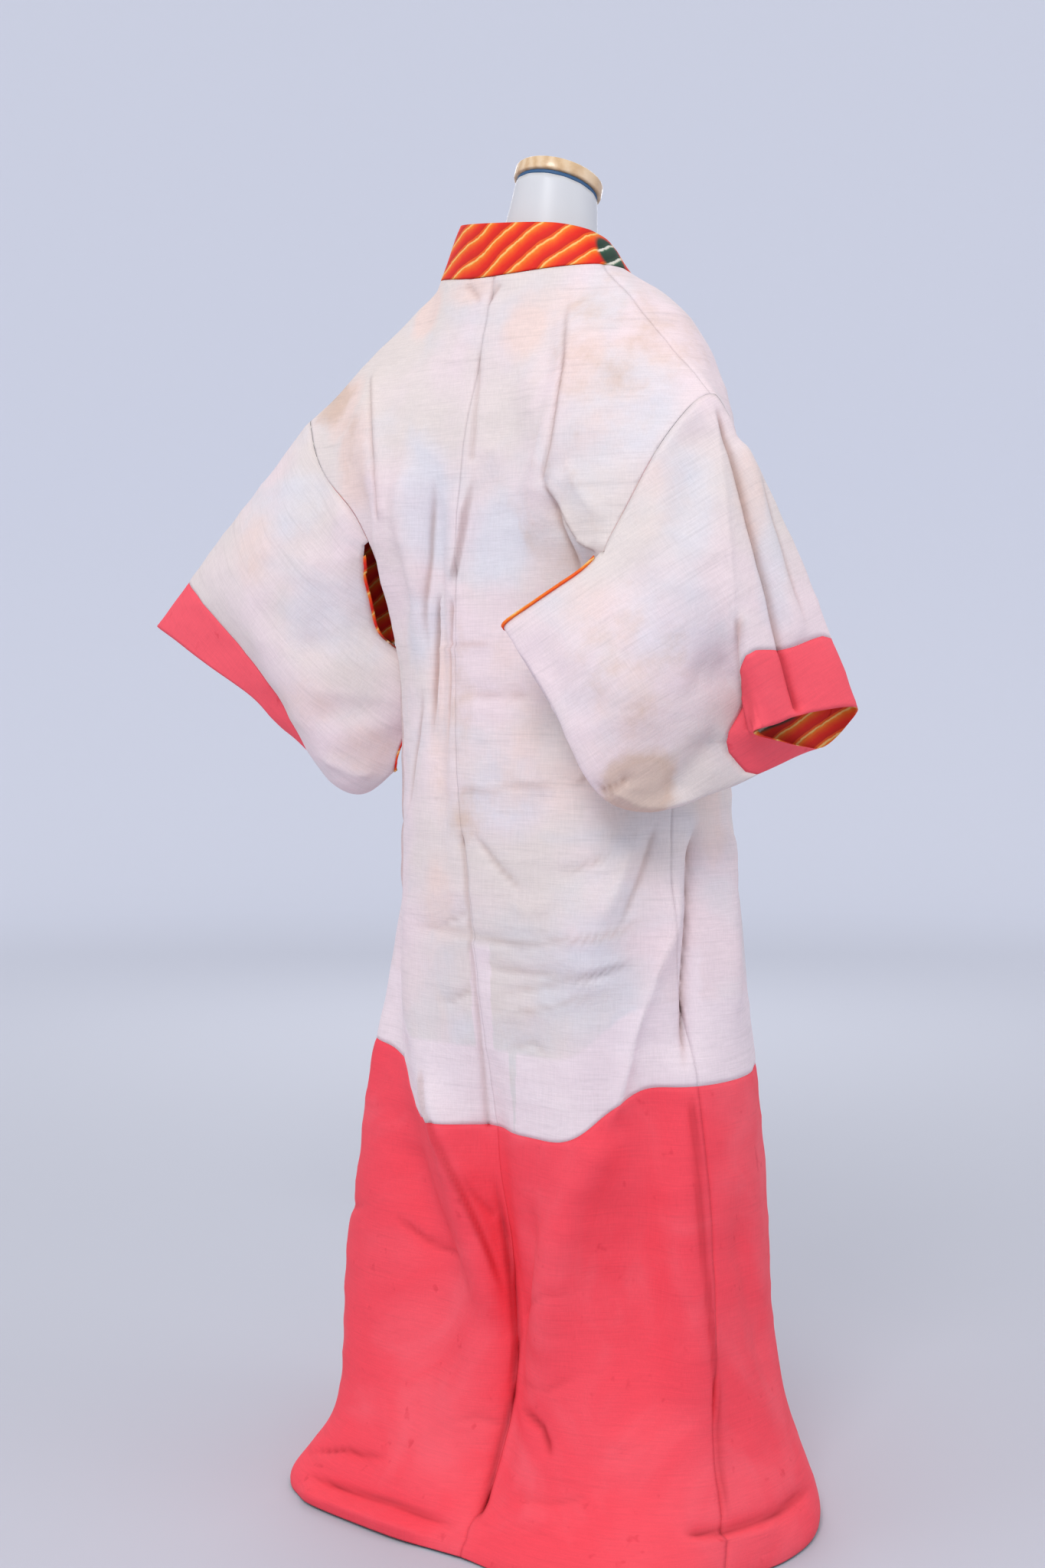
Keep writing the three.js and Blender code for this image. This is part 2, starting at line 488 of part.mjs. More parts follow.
function stackGeometry(rings, around) {
  const positions = [];
  for (const ring of rings) {
    const tip = Math.tan(THREE.MathUtils.degToRad(ring.lean));
    for (const j of range(around)) {
      const a = (j / around) * Math.PI * 2;
      const y = ring.deep * Math.sin(a);
      positions.push(ring.half * Math.cos(a), ring.y + y, ring.z + y * tip);
    }
  }
  const top = rings[rings.length - 1];
  positions.push(0, rings[0].y, rings[0].z, 0, top.y, top.z);
  const faces = [];
  const low = rings.length * around;
  rings.forEach((_, i) => range(around).forEach((j) => {
    const k = (j + 1) % around;
    if (i === 0) faces.push(low, k, j);
    if (i === rings.length - 1) {
      faces.push(low + 1, i * around + j, i * around + k);
      return;
    }
    const [a, b] = [i * around + j, i * around + k];
    faces.push(a, b, b + around, a, b + around, a + around);
  }));
  const geometry = new THREE.BufferGeometry();
  geometry.setAttribute('position', new THREE.Float32BufferAttribute(positions, 3));
  geometry.setIndex(faces);
  return geometry;
}
const neckTop = formRings[formRings.length - 1];
function discOnNeck(rise, thick, grow) {
  const tip = Math.tan(THREE.MathUtils.degToRad(neckTop.lean));
  const ringAt = (up) => ({ half: neckTop.half + grow, deep: neckTop.deep + grow, lean: neckTop.lean,
    z: neckTop.z + up, y: neckTop.y - tip * up });
  return stackGeometry([ringAt(rise), ringAt(rise + thick)], 32);
}
const bandThick = 3.5;
const capThick = 13;
place('form_torso', stackGeometry(formRings, 28), 'formWhite');
place('neck_band', discOnNeck(restGap * 1.2, bandThick, -1), 'bandBlue');
place('neck_cap', discOnNeck(restGap * 2.4 + bandThick, capThick, 2.5), 'capWood');

const poleRadius = 16;
const baseRadius = 150;
const baseThick = 14;
const round = (radius, z) => ({ half: radius, deep: radius, z, y: 0, lean: 0 });
const poleRings = [round(poleRadius, baseThick + restGap), round(poleRadius, formRings[0].z - restGap)];
const baseRings = [round(baseRadius, 0), round(baseRadius, baseThick - 4), round(baseRadius - 6, baseThick)];
place('stand_pole', stackGeometry(poleRings, 20), 'standSteel');
place('stand_base', stackGeometry(baseRings, 40), 'standSteel');

export default kimono;
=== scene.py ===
# Kimono worn inside out on a dress form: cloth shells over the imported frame, their finishes, light and camera
import math

import bmesh
import bpy
import numpy as np
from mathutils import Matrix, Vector, noise
from mathutils.bvhtree import BVHTree
from mathutils.kdtree import KDTree


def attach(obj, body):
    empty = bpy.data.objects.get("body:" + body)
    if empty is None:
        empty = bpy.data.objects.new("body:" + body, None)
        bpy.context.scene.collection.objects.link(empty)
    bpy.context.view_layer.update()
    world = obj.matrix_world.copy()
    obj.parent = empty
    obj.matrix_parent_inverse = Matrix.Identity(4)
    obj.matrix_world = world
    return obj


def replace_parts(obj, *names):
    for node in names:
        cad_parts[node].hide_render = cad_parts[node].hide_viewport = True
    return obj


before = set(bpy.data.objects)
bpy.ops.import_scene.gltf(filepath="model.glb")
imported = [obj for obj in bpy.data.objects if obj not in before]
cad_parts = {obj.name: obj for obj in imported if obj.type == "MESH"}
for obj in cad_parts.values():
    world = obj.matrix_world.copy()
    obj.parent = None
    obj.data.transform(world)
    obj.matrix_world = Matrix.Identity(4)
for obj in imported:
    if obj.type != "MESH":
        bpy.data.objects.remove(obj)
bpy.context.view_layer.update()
up = Vector((0, 0, 1))


# Small helpers for objects and meshes
def placed(name, data):
    made = bpy.data.objects.new(name, data)
    bpy.context.scene.collection.objects.link(made)
    return made


def asMesh(shape, name):
    mesh = bpy.data.meshes.new(name)
    shape.to_mesh(mesh)
    shape.free()
    return mesh


def dress(mesh, *materials):
    mesh.materials.clear()
    for material in materials:
        mesh.materials.append(material)


def piece(name, mesh):
    made = placed(name, mesh)
    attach(made, "root")
    return made


def shadeSmooth(faces):
    for face in faces:
        face.material_index = 0
        face.smooth = True


def finderOf(points):
    finder = KDTree(len(points))
    for k, point in enumerate(points):
        finder.insert(point, k)
    finder.balance()
    return finder


# Camera: a 50 mm lens, standing behind the garment and to its right
cameraKit = dict(lens=50, sensor=36, distance=2.4, turn=40, height=0.925, tilt=3.5, aside=0.04)
photoSize = (1365, 2048)


def makeCamera(kit):
    turn = math.radians(kit["turn"])
    tilt = math.radians(kit["tilt"])
    ahead = Vector((math.sin(turn), -math.cos(turn), 0))
    right = Vector((-math.cos(turn), -math.sin(turn), 0))
    data = bpy.data.cameras.new("photoCamera")
    data.lens = kit["lens"]
    data.sensor_fit = "VERTICAL"
    data.sensor_height = kit["sensor"]
    camera = placed("photoCamera", data)
    camera.location = up * kit["height"] - ahead * kit["distance"] - right * kit["aside"]
    look = ahead * math.cos(tilt) - up * math.sin(tilt)
    camera.rotation_euler = look.to_track_quat("-Z", "Y").to_euler()
    bpy.context.scene.camera = camera
    bpy.context.view_layer.update()
    return camera


camera = makeCamera(cameraKit)
eye = camera.matrix_world.translation.copy()
eyeTurn = camera.matrix_world.to_3x3()


def photoRay(pixel):  # the way from the camera through a pixel of the 1365 x 2048 photograph
    focal = cameraKit["lens"] / cameraKit["sensor"] * photoSize[1]
    across = pixel[0] - photoSize[0] / 2
    down = pixel[1] - photoSize[1] / 2
    return (eyeTurn @ Vector((across, -down, -focal))).normalized()


print("camera is set")

# Cloth: the CAD walls' outer sides, welded along their seams, made fine, creased, and parted again
clothKit = dict(levels=3, thickness=0.0014, wall=0.0016, bodyReach=0.0028, sleeveReach=0.002,
                collarWall=0.0024, collarReach=0.0005, collarThickness=0.0022, sameSpot=0.00002,
                cornerAngle=158, seamDip=0.0009, seamWidth=0.0035, clearOfForm=0.0026, clearOfFloor=0.0018)
bodyNodes = [f"{panel}_{side}_{part}" for panel in ("back", "front", "okumi") for side in ("left", "right")
             for part in ("lining", "hem")]


def outerSkin(node, wall):
    # the wall's rim is made of faces as narrow as the wall is thick; without it the two sides fall apart
    skin = bmesh.new()
    skin.from_mesh(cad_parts[node].data)
    bmesh.ops.remove_doubles(skin, verts=skin.verts, dist=clothKit["sameSpot"])
    rim = [f for f in skin.faces if min(e.calc_length() for e in f.edges) < wall * 1.3]
    bmesh.ops.delete(skin, geom=rim, context="FACES")
    islands = []
    left = set(skin.faces)
    while left:
        island = {left.pop()}
        front = list(island)
        while front:
            for edge in front.pop().edges:
                for face in edge.link_faces:
                    if face in left:
                        left.remove(face)
                        island.add(face)
                        front.append(face)
        islands.append(island)
    tube = node.startswith(("sleeve", "cuff"))
    heart = sum((v.co for v in skin.verts), Vector()) / len(skin.verts)

    def outwardness(island):
        total = 0
        for face in island:
            middle = face.calc_center_median()
            inside = heart if tube else Vector((0, -0.01, middle.z))
            total += face.calc_area() * face.normal.dot(middle - inside)
        return total

    keep = max(islands, key=outwardness)
    bmesh.ops.delete(skin, geom=[f for f in skin.faces if f not in keep], context="FACES")
    return skin


def keepCorners(whole):  # the seam between two pieces stays as cut, and turns its corners sharply
    edgeCrease = whole.edges.layers.float.new("crease_edge")
    vertCrease = whole.verts.layers.float.new("crease_vert")
    seam = [e for e in whole.edges if len({face.material_index for face in e.link_faces}) == 2]
    for edge in seam:
        edge[edgeCrease] = 1
    for v in {v for e in seam for v in e.verts}:
        ways = [(e.other_vert(v).co - v.co) for e in v.link_edges if e[edgeCrease] > 0]
        if len(ways) == 2 and ways[0].angle(ways[1]) < math.radians(clothKit["cornerAngle"]):
            v[vertCrease] = 1


def weldedCloth(name, nodes, wall, reach, cornered=False):
    # one mesh of several skins; each face keeps its node's number as its material index
    whole = bmesh.new()
    for number, node in enumerate(nodes):
        skin = outerSkin(node, wall)
        for face in skin.faces:
            face.material_index = number
        part = asMesh(skin, node)
        whole.from_mesh(part)
        bpy.data.meshes.remove(part)
    edge = [v for v in whole.verts if v.is_boundary]
    bmesh.ops.remove_doubles(whole, verts=edge, dist=reach)
    bmesh.ops.join_triangles(whole, faces=whole.faces[:], angle_face_threshold=math.radians(70),
                             angle_shape_threshold=math.pi, cmp_materials=True)
    if cornered:
        keepCorners(whole)
    mesh = asMesh(whole, name)
    for node in nodes:
        mesh.materials.append(None)
    return mesh


def madeFine(mesh, levels):
    source = placed(mesh.name, mesh)
    soften = source.modifiers.new("Soften", "SUBSURF")
    soften.levels = levels
    soften.render_levels = levels
    soften.boundary_smooth = "PRESERVE_CORNERS"
    shown = source.evaluated_get(bpy.context.evaluated_depsgraph_get())
    fine = bpy.data.meshes.new_from_object(shown)
    bpy.data.objects.remove(source)
    return fine


def pointsOf(mesh):
    flat = np.empty(len(mesh.vertices) * 3)
    mesh.vertices.foreach_get("co", flat)
    return flat.reshape(-1, 3)


def normalsOf(mesh):
    flat = np.empty(len(mesh.vertices) * 3)
    mesh.vertex_normals.foreach_get("vector", flat)
    return flat.reshape(-1, 3)


def treeOf(mesh):
    return BVHTree.FromPolygons([v.co for v in mesh.vertices], [p.vertices[:] for p in mesh.polygons])


wall, sleeveReach = clothKit["wall"], clothKit["sleeveReach"]
welded = {
    "body": weldedCloth("body", bodyNodes, wall, clothKit["bodyReach"]),
    "sleeve_left": weldedCloth("sleeve_left", ["sleeve_left", "cuff_left"], wall, sleeveReach, cornered=True),
    "sleeve_right": weldedCloth("sleeve_right", ["sleeve_right", "cuff_right"], wall, sleeveReach, cornered=True),
    "collar": weldedCloth("collar", ["collar"], clothKit["collarWall"], clothKit["collarReach"]),
}
cloths = {name: madeFine(mesh, clothKit["levels"]) for name, mesh in welded.items()}
for name, mesh in cloths.items():
    print("cloth", name, "has", len(mesh.polygons), "faces")


# Creases: depth and width are in millimetres, a ridge has a positive depth. fade is the share of the path in
# which the crease comes and goes. lap names the side on which the upper layer of an overlapping fold lies, and
# push draws the cloth aside, as the camera sees it, instead of in or out.
def fold(depth, width, path, fade=(0.3, 0.3), lap=None, push=None):
    return dict(depth=depth, width=width, path=path, fade=fade, lap=lap, push=push)


# Creases seen in the photograph: the path is in its pixels, from where the crease starts
backCreases = [
    # The flap below the right shoulder
    fold(6, 13, [(745, 365), (736, 481), (721, 579), (709, 627)], (0.5, 0.02), lap="right"),
    fold(6, 8, [(710, 627), (729, 666), (756, 707), (782, 721)], (0.1, 0.1), lap="up"),
    fold(6, 26, [(766, 371), (770, 451), (760, 543), (753, 625)], (0.2, 0.3)),
    fold(-6, 22, [(717, 389), (707, 481), (688, 573), (671, 655)], (0.3, 0.4)),
    fold(-7, 14, [(716, 640), (728, 690), (750, 740), (764, 790)], (0.2, 0.4)),
    fold(4, 15, [(740, 600), (764, 650), (800, 690)], (0.2, 0.4)),
    # The tuck and the pleats beside the back seam
    fold(4, 11, [(621, 604), (608, 666), (596, 732), (589, 766)], (0.5, 0.12), lap="left"),
    fold(-5, 20, [(655, 573), (633, 655), (614, 737), (604, 819)], (0.4, 0.4)),
    fold(-6, 6, [(573, 770), (569, 870), (563, 981)], (0.15, 0.4)),
    fold(4, 6, [(580, 768), (578, 870), (573, 973)], (0.1, 0.3)),
    fold(-4, 4, [(590, 778), (587, 870), (584, 985)], (0.1, 0.3)),
    # The back's left side
    fold(5, 9, [(486, 489), (488, 573), (494, 684)], (0.08, 0.1), lap="right"),
    fold(7, 18, [(532, 573), (526, 676), (543, 778), (549, 881)], (0.3, 0.4)),
    fold(-5, 14, [(569, 614), (561, 717), (553, 788), (561, 870)], (0.3, 0.4)),
    fold(-4, 12, [(553, 891), (541, 983), (532, 1085)], (0.3, 0.5)),
    fold(3, 50, [(512, 700), (522, 760), (536, 830)], push="right"),
    # The back seam
    fold(-3, 5, [(600, 1080), (606, 1150), (612, 1240), (622, 1330), (638, 1478)], (0.05, 0.02)),
    fold(-2.4, 5, [(628, 440), (622, 520), (616, 604)], (0.3, 0.05)),
    # Neck and yoke
    fold(-3, 6, [(610, 372), (622, 386), (630, 402)], (0.05, 0.5)),
    fold(-3, 6, [(652, 370), (642, 386), (634, 402)], (0.05, 0.5)),
    fold(-4, 26, [(830, 380), (862, 430), (884, 490)], (0.2, 0.4)),
    # Wrinkles across the lining
    fold(3, 5, [(590, 1034), (655, 1029), (721, 1022), (791, 1015)], (0.1, 0.15), lap="down"),
    fold(-3, 6, [(614, 1085), (655, 1137), (688, 1169)]),
    fold(3, 7, [(559, 1217), (627, 1229), (707, 1232), (783, 1225), (866, 1194)], (0.25, 0.25), lap="down"),
    fold(-2.4, 8, [(614, 1257), (696, 1273), (778, 1268)]),
    fold(2.6, 6, [(651, 1326), (717, 1317), (786, 1296)], lap="down"),
    fold(2.6, 6, [(700, 1286), (768, 1274), (842, 1251)], lap="up"),
    fold(-2.2, 6, [(721, 1139), (758, 1133), (807, 1112)]),
    fold(2.4, 8, [(655, 1178), (692, 1190), (729, 1176)]),
    fold(-2, 9, [(655, 1372), (696, 1362), (717, 1380)]),
    fold(3, 6, [(572, 846), (612, 842), (652, 838)], (0.1, 0.3), lap="down"),
    fold(-2.6, 9, [(600, 900), (660, 912), (712, 900)]),
    fold(-2.6, 7, [(528, 1206), (600, 1218), (680, 1236), (752, 1228)], (0.2, 0.3)),
    fold(-2.4, 7, [(640, 1300), (720, 1286), (800, 1270), (834, 1262)]),
    fold(2.4, 8, [(672, 1290), (740, 1282), (800, 1290)]),
    fold(-2.2, 6, [(610, 1190), (580, 1204), (556, 1200)], (0.1, 0.6)),
    fold(-2.2, 6, [(618, 1290), (590, 1306), (560, 1300)], (0.1, 0.6)),
    # What falls from the right hip
    fold(9, 15, [(889, 1137), (881, 1219), (851, 1294), (827, 1352), (807, 1444), (782, 1505)], (0.15, 0.3)),
    fold(-14, 15, [(913, 1065), (909, 1147), (903, 1229), (897, 1321), (893, 1405)], (0.15, 0.2)),
    fold(7, 20, [(948, 1069), (952, 1208), (958, 1372)], (0.1, 0.3)),
    fold(5, 34, [(778, 1137), (768, 1229), (745, 1321)], (0.3, 0.4)),
    fold(-4, 18, [(700, 920), (716, 1010), (708, 1110)], (0.3, 0.4)),
    fold(-3.5, 9, [(860, 1070), (836, 1150), (800, 1230)], (0.2, 0.4)),
    fold(4, 12, [(836, 1070), (812, 1150), (776, 1220)], (0.2, 0.4)),
    # Hem lining
    fold(-9, 13, [(643, 1516), (655, 1597), (666, 1679), (671, 1751), (666, 1823), (647, 1894),
          (621, 1997)], (0.2, 0.1)),
    fold(4, 8, [(655, 1597), (668, 1679), (673, 1741), (667, 1802)], (0.2, 0.2), lap="left"),
    fold(9, 18, [(545, 1384), (571, 1454), (610, 1587), (645, 1700), (664, 1753)], (0.2, 0.2)),
    fold(-6, 26, [(512, 1454), (553, 1556), (594, 1659), (627, 1761)], (0.3, 0.4)),
    fold(-3, 6, [(510, 1581), (553, 1618), (606, 1651)]),
    fold(10, 24, [(805, 1466), (760, 1546), (731, 1638), (717, 1741), (721, 1833)], (0.15, 0.4)),
    fold(-6, 16, [(698, 1556), (688, 1659), (684, 1761)], (0.3, 0.4)),
    fold(-6, 10, [(674, 1833), (707, 1864), (723, 1907)]),
    fold(-1.4, 10, [(668, 1802), (717, 1815), (766, 1790)], (0.3, 0.4)),
    fold(-5, 32, [(819, 1516), (825, 1638), (850, 1802), (870, 1925)]),
    fold(6, 24, [(877, 1454), (887, 1597), (905, 1761), (922, 1905)]),
    fold(4, 7, [(903, 1425), (918, 1659), (934, 1843), (950, 1999)], (0.05, 0.1), lap="right"),
    fold(-5, 18, [(958, 1536), (981, 1700), (1014, 1843)]),
    fold(-2.6, 7, [(650, 1590), (620, 1560), (596, 1520)], (0.1, 0.6)),
    fold(-1.6, 7, [(672, 1720), (716, 1690), (770, 1680)], (0.1, 0.6)),
    fold(-1.6, 7, [(664, 1860), (620, 1850), (566, 1860)], (0.1, 0.6)),
    fold(4, 8, [(548, 1392), (562, 1450), (600, 1540), (640, 1640), (662, 1700)], (0.05, 0.2), lap="left"),
    # The hem where it lies on the floor
    fold(-8, 12, [(381, 1917), (430, 1933), (512, 1960), (604, 1997)], (0.2, 0.3)),
    fold(7, 12, [(375, 1935), (414, 1958), (481, 1982), (573, 2013)], (0.1, 0.3)),
    fold(-5, 12, [(401, 1894), (451, 1890), (512, 1907)], (0.3, 0.4)),
    fold(-1.6, 8, [(655, 1946), (717, 1962), (778, 1954)]),
    fold(-8, 10, [(889, 2003), (952, 1997), (1020, 1974), (1063, 1937)], (0.15, 0.15)),
    fold(5, 9, [(889, 2019), (952, 2013), (1024, 1993)], (0.2, 0.2)),
]
rightCreases = [
    # Arm and cuff
    fold(4, 14, [(922, 573), (934, 676), (948, 778), (958, 860)]),
    fold(-3, 10, [(963, 532), (995, 635), (1030, 758), (1055, 829)], (0.2, 0.3)),
    fold(-4, 20, [(916, 540), (890, 640), (880, 760)], (0.2, 0.5)),
    fold(4, 20, [(904, 560), (862, 660), (836, 770)], (0.3, 0.5)),
    fold(-5, 22, [(962, 870), (930, 880), (892, 870)], (0.2, 0.5)),
    fold(-7, 8, [(932, 514), (953, 586), (981, 688), (1004, 774), (1020, 842), (1046, 932)], (0.08, 0.02)),
    fold(4, 13, [(934, 530), (944, 640), (952, 740), (964, 850)], (0.1, 0.1)),
    fold(5, 17, [(950, 530), (985, 640), (1018, 750), (1044, 850)], (0.1, 0.1)),
    fold(5, 9, [(965, 800), (968, 856), (974, 905), (980, 955)], (0.1, 0.02), lap="right"),
    fold(2.2, 8, [(918, 524), (884, 566), (850, 610), (816, 668), (796, 712)], (0.05, 0.1)),
    # Pouch
    fold(-4, 22, [(819, 717), (860, 819), (901, 901)], (0.3, 0.4)),
    fold(4, 24, [(737, 819), (809, 901), (881, 963)], (0.3, 0.4)),
    fold(-5, 17, [(952, 963), (918, 983), (889, 1024), (872, 1061)], (0.2, 0.2)),
    fold(4, 12, [(788, 1024), (831, 1049), (883, 1055), (922, 1034)], (0.2, 0.3)),
    fold(-4, 6, [(782, 1034), (809, 1024), (831, 1008)], (0.1, 0.4)),
    fold(-4, 20, [(690, 830), (716, 880), (762, 960)], (0.2, 0.5)),
]
leftCreases = [
    # Arm and pouch
    fold(3, 26, [(414, 553), (381, 655), (326, 758)], (0.2, 0.3)),
    fold(-4, 26, [(451, 635), (430, 778), (401, 901)]),
    fold(4, 22, [(489, 717), (498, 819), (481, 922), (463, 989)]),
    fold(-3.5, 18, [(393, 952), (440, 928), (502, 922), (541, 901)]),
    fold(3, 12, [(410, 983), (461, 1009), (512, 1014)]),
    fold(-3, 18, [(424, 560), (420, 660), (398, 770)], (0.2, 0.5)),
    fold(3.6, 18, [(446, 620), (452, 720), (440, 820)], (0.2, 0.5)),
    fold(-3.5, 20, [(330, 780), (382, 830), (446, 862)]),
    fold(1.8, 9, [(404, 566), (426, 616), (454, 664), (478, 704)], (0.05, 0.1)),
    # The slit beside the body, opened above and closed below
    fold(11, 26, [(482, 700), (488, 740), (494, 790), (496, 830), (494, 866)], (0.35, 0.35), push="left"),
    fold(22, 46, [(496, 822), (500, 870), (503, 935), (503, 990), (496, 1034)], (0.35, 0.6), push="right"),
    fold(8, 40, [(486, 800), (496, 860), (500, 920), (502, 980)], (0.4, 0.4)),
]
creases = dict(body=backCreases, sleeve_right=rightCreases, sleeve_left=leftCreases)

# Creases on the sides that the photograph doesn't show: the path is in degrees round from the back, to the
# wearer's left, and in metres of height
hiddenCreases = dict(body=[
    # Front
    fold(8, 18, [(122, 1.12), (118, 0.9), (124, 0.62)]),
    fold(-8, 16, [(136, 1.02), (134, 0.7), (130, 0.35)], (0.3, 0.2)),
    fold(7, 22, [(150, 0.92), (148, 0.6), (146, 0.2)]),
    fold(7, 18, [(222, 1.1), (228, 0.85), (222, 0.6)]),
    fold(-7, 16, [(214, 0.95), (216, 0.6), (222, 0.3)], (0.3, 0.2)),
    fold(6, 24, [(236, 0.8), (238, 0.5), (242, 0.15)]),
    fold(-4, 12, [(120, 1.2), (138, 1.1), (160, 1.02)]),
    fold(-4, 12, [(238, 1.19), (222, 1.1), (204, 1.02)]),
    fold(2.6, 7, [(130, 0.83), (152, 0.82), (176, 0.835)], lap="down"),
    fold(-2.6, 7, [(196, 0.73), (214, 0.72), (232, 0.745)]),
    fold(-7, 11, [(120, 0.045), (146, 0.04), (176, 0.05)], (0.2, 0.3)),
    fold(-6, 11, [(196, 0.05), (222, 0.042), (250, 0.05)], (0.3, 0.2)),
    fold(-3, 7, [(112, 0.98), (134, 0.965), (158, 0.975)], (0.2, 0.4)),
    fold(-2.8, 7, [(124, 0.72), (144, 0.7), (166, 0.715)]),
    fold(-2.8, 7, [(200, 0.9), (220, 0.885), (240, 0.9)]),
    fold(-2.6, 7, [(190, 0.62), (208, 0.6), (232, 0.615)]),
    fold(-2.6, 7, [(130, 0.58), (150, 0.565), (172, 0.575)]),
    fold(-3, 7, [(158, 1.16), (140, 1.1), (122, 1.06)], (0.1, 0.6)),
    fold(-3, 7, [(203, 1.14), (220, 1.07), (238, 1.04)], (0.1, 0.6)),
    fold(-3, 7, [(166, 1), (148, 0.93), (128, 0.9)], (0.1, 0.6)),
    fold(-3.5, 8, [(122, 0.4), (140, 0.37), (160, 0.38)], (0.2, 0.4)),
    fold(-3.5, 8, [(150, 0.24), (168, 0.21), (190, 0.215)], (0.3, 0.4)),
    fold(-3.5, 8, [(204, 0.33), (222, 0.3), (242, 0.305)], (0.3, 0.4)),
    fold(-5, 9, [(160, 0.44), (162, 0.3), (158, 0.14)], (0.1, 0.4)),
    fold(-5, 9, [(212, 0.44), (214, 0.3), (218, 0.12)], (0.1, 0.4)),
    # Left side
    fold(9, 18, [(84, 0.86), (80, 0.6), (76, 0.32)], (0.2, 0.3)),
    fold(-9, 14, [(96, 0.9), (92, 0.62), (90, 0.34)], (0.2, 0.3)),
    fold(7, 22, [(106, 0.84), (104, 0.5), (104, 0.2)], (0.2, 0.3)),
    fold(-7, 12, [(62, 0.06), (84, 0.05), (108, 0.05)], (0.2, 0.3)),
    fold(-3, 7, [(64, 0.74), (80, 0.72), (98, 0.735)]),
    fold(-3, 8, [(60, 0.3), (80, 0.27), (104, 0.28)]),
    fold(5, 9, [(72, 0.98), (70, 0.8), (66, 0.6)], (0.1, 0.2), lap="left"),
])
creaseKit = dict(strength=1.45, reach=3.2, lapTail=0.0042, lapDip=0.55, lapSoft=0.005, facing=0.15,
                 sharpWidth=16, sharp=1.35, shadeSize=0.0034, shadeDepth=6, pixelStep=12, hiddenStep=0.3)


def dense(path, step):
    found = []
    for start, end in zip(path[:-1], path[1:]):
        a, b = Vector(start), Vector(end)
        count = max(2, int((b - a).length / step))
        found += [a.lerp(b, i / count) for i in range(count)]
    return found + [Vector(path[-1])]


def seenPath(path, tree):
    hits = [tree.ray_cast(eye, photoRay(pixel)) for pixel in dense(path, creaseKit["pixelStep"])]
    return [(hit[0], hit[1]) for hit in hits if hit[0] is not None]


def hiddenPath(path, tree):  # ten degrees and a tenth of a metre are about as long on the cloth
    hits = []
    for degrees, height in dense([(d / 10, h * 10) for d, h in path], creaseKit["hiddenStep"]):
        turn = math.radians(degrees * 10)
        out = Vector((math.sin(turn), math.cos(turn), 0))
        hits.append(tree.ray_cast(out + up * height / 10, -out))
    return [(hit[0], hit[1]) for hit in hits if hit[0] is not None]


def creaseLift(points, normals, crease, hits, paintedFoldShade):  # also adds a painted shade line along the crease's bottom
    lift = np.zeros(len(points))
    if len(hits) < 2:
        print("crease from", crease["path"][0], "misses its cloth")
        return lift
    path = np.array([hit[0] for hit in hits])
    facing = np.array(sum((hit[1] for hit in hits), Vector()).normalized())
    width = crease["width"] / 1000
    margin = width * creaseKit["reach"]
    near = ((points > path.min(0) - margin) & (points < path.max(0) + margin)).all(1)
    near &= normals @ facing > (-1 if crease["push"] else creaseKit["facing"])
    spots = np.nonzero(near)[0]
    if not len(spots):
        return lift
    start, span = path[:-1], path[1:] - path[:-1]
    toSpot = points[spots][:, None] - start[None]
    share = np.clip((toSpot * span).sum(2) / np.maximum((span * span).sum(1), 1e-12), 0, 1)
    away = toSpot - share[..., None] * span
    far = np.linalg.norm(away, axis=2)
    nearest = far.argmin(1)
    rows = np.arange(len(spots))
    distance = far[rows, nearest] / width
    along = (nearest + share[rows, nearest]) / len(start)
    fadeIn, fadeOut = crease["fade"]
    ease = np.clip(along / fadeIn, 0, 1) * np.clip((1 - along) / fadeOut, 0, 1)
    ease = ease * ease * (3 - 2 * ease)
    sharp = crease["width"] < creaseKit["sharpWidth"]
    shape = np.exp(-distance * creaseKit["sharp"]) if sharp else np.exp(-distance ** 2)
    lap = crease["lap"]
    if lap:
        side = away[rows, nearest]
        if lap in ("left", "right"):
            rightward = np.cross(np.array(up), normals[spots])
            turned = (side * rightward).sum(1) * (1 if lap == "right" else -1)
        else:
            turned = side[:, 2] * (1 if lap == "up" else -1)
        tail = -creaseKit["lapDip"] * np.exp(-(distance * width / creaseKit["lapTail"]) ** 2)
        blend = np.clip(turned / creaseKit["lapSoft"] + 0.5, 0, 1)
        shape = blend * shape + (1 - blend) * tail
    lift[spots] = crease["depth"] / 1000 * creaseKit["strength"] * shape * ease
    # painted shade: a dark line along the bottom of a sharp valley or lap
    if sharp and (lap or crease["depth"] < 0):
        line = np.exp(-(distance * width / creaseKit["shadeSize"]) ** 2) * ease
        paintedFoldShade[spots] = np.maximum(paintedFoldShade[spots], line * min(1, abs(crease["depth"]) / creaseKit["shadeDepth"]))
    return lift


# Soft unevenness of hanging cloth: slow swells, and fine crumples that run across it
unevenKit = dict(swell=0.0026, swellSize=(7, 7, 2.6), crumple=0.0013, crumpleSize=(11, 11, 26))


def unevenness(points, kit):
    lift = np.empty(len(points))
    for k, point in enumerate(points):
        slow = noise.noise(Vector(point * kit["swellSize"]))
        fine = noise.noise(Vector(point * kit["crumpleSize"]) + Vector((7, 3, 5)))
        fine = 1 - 2 * abs(fine) if fine > -0.5 else 0
        lift[k] = kit["swell"] * slow + kit["crumple"] * fine
    return lift


def seamPoints(mesh):
    owner = {}
    seam = set()
    for face in mesh.polygons:
        for v in face.vertices:
            if owner.setdefault(v, face.material_index) != face.material_index:
                seam.add(v)
    return seam


def seamLift(mesh, points):
    seam = sorted(seamPoints(mesh))
    lift = np.zeros(len(points))
    if not seam:
        return lift
    finder = finderOf([points[v] for v in seam])
    for k, point in enumerate(points):
        away = finder.find(point)[2]
        lift[k] = -clothKit["seamDip"] * math.exp(-(away / clothKit["seamWidth"]) ** 2)
    return lift


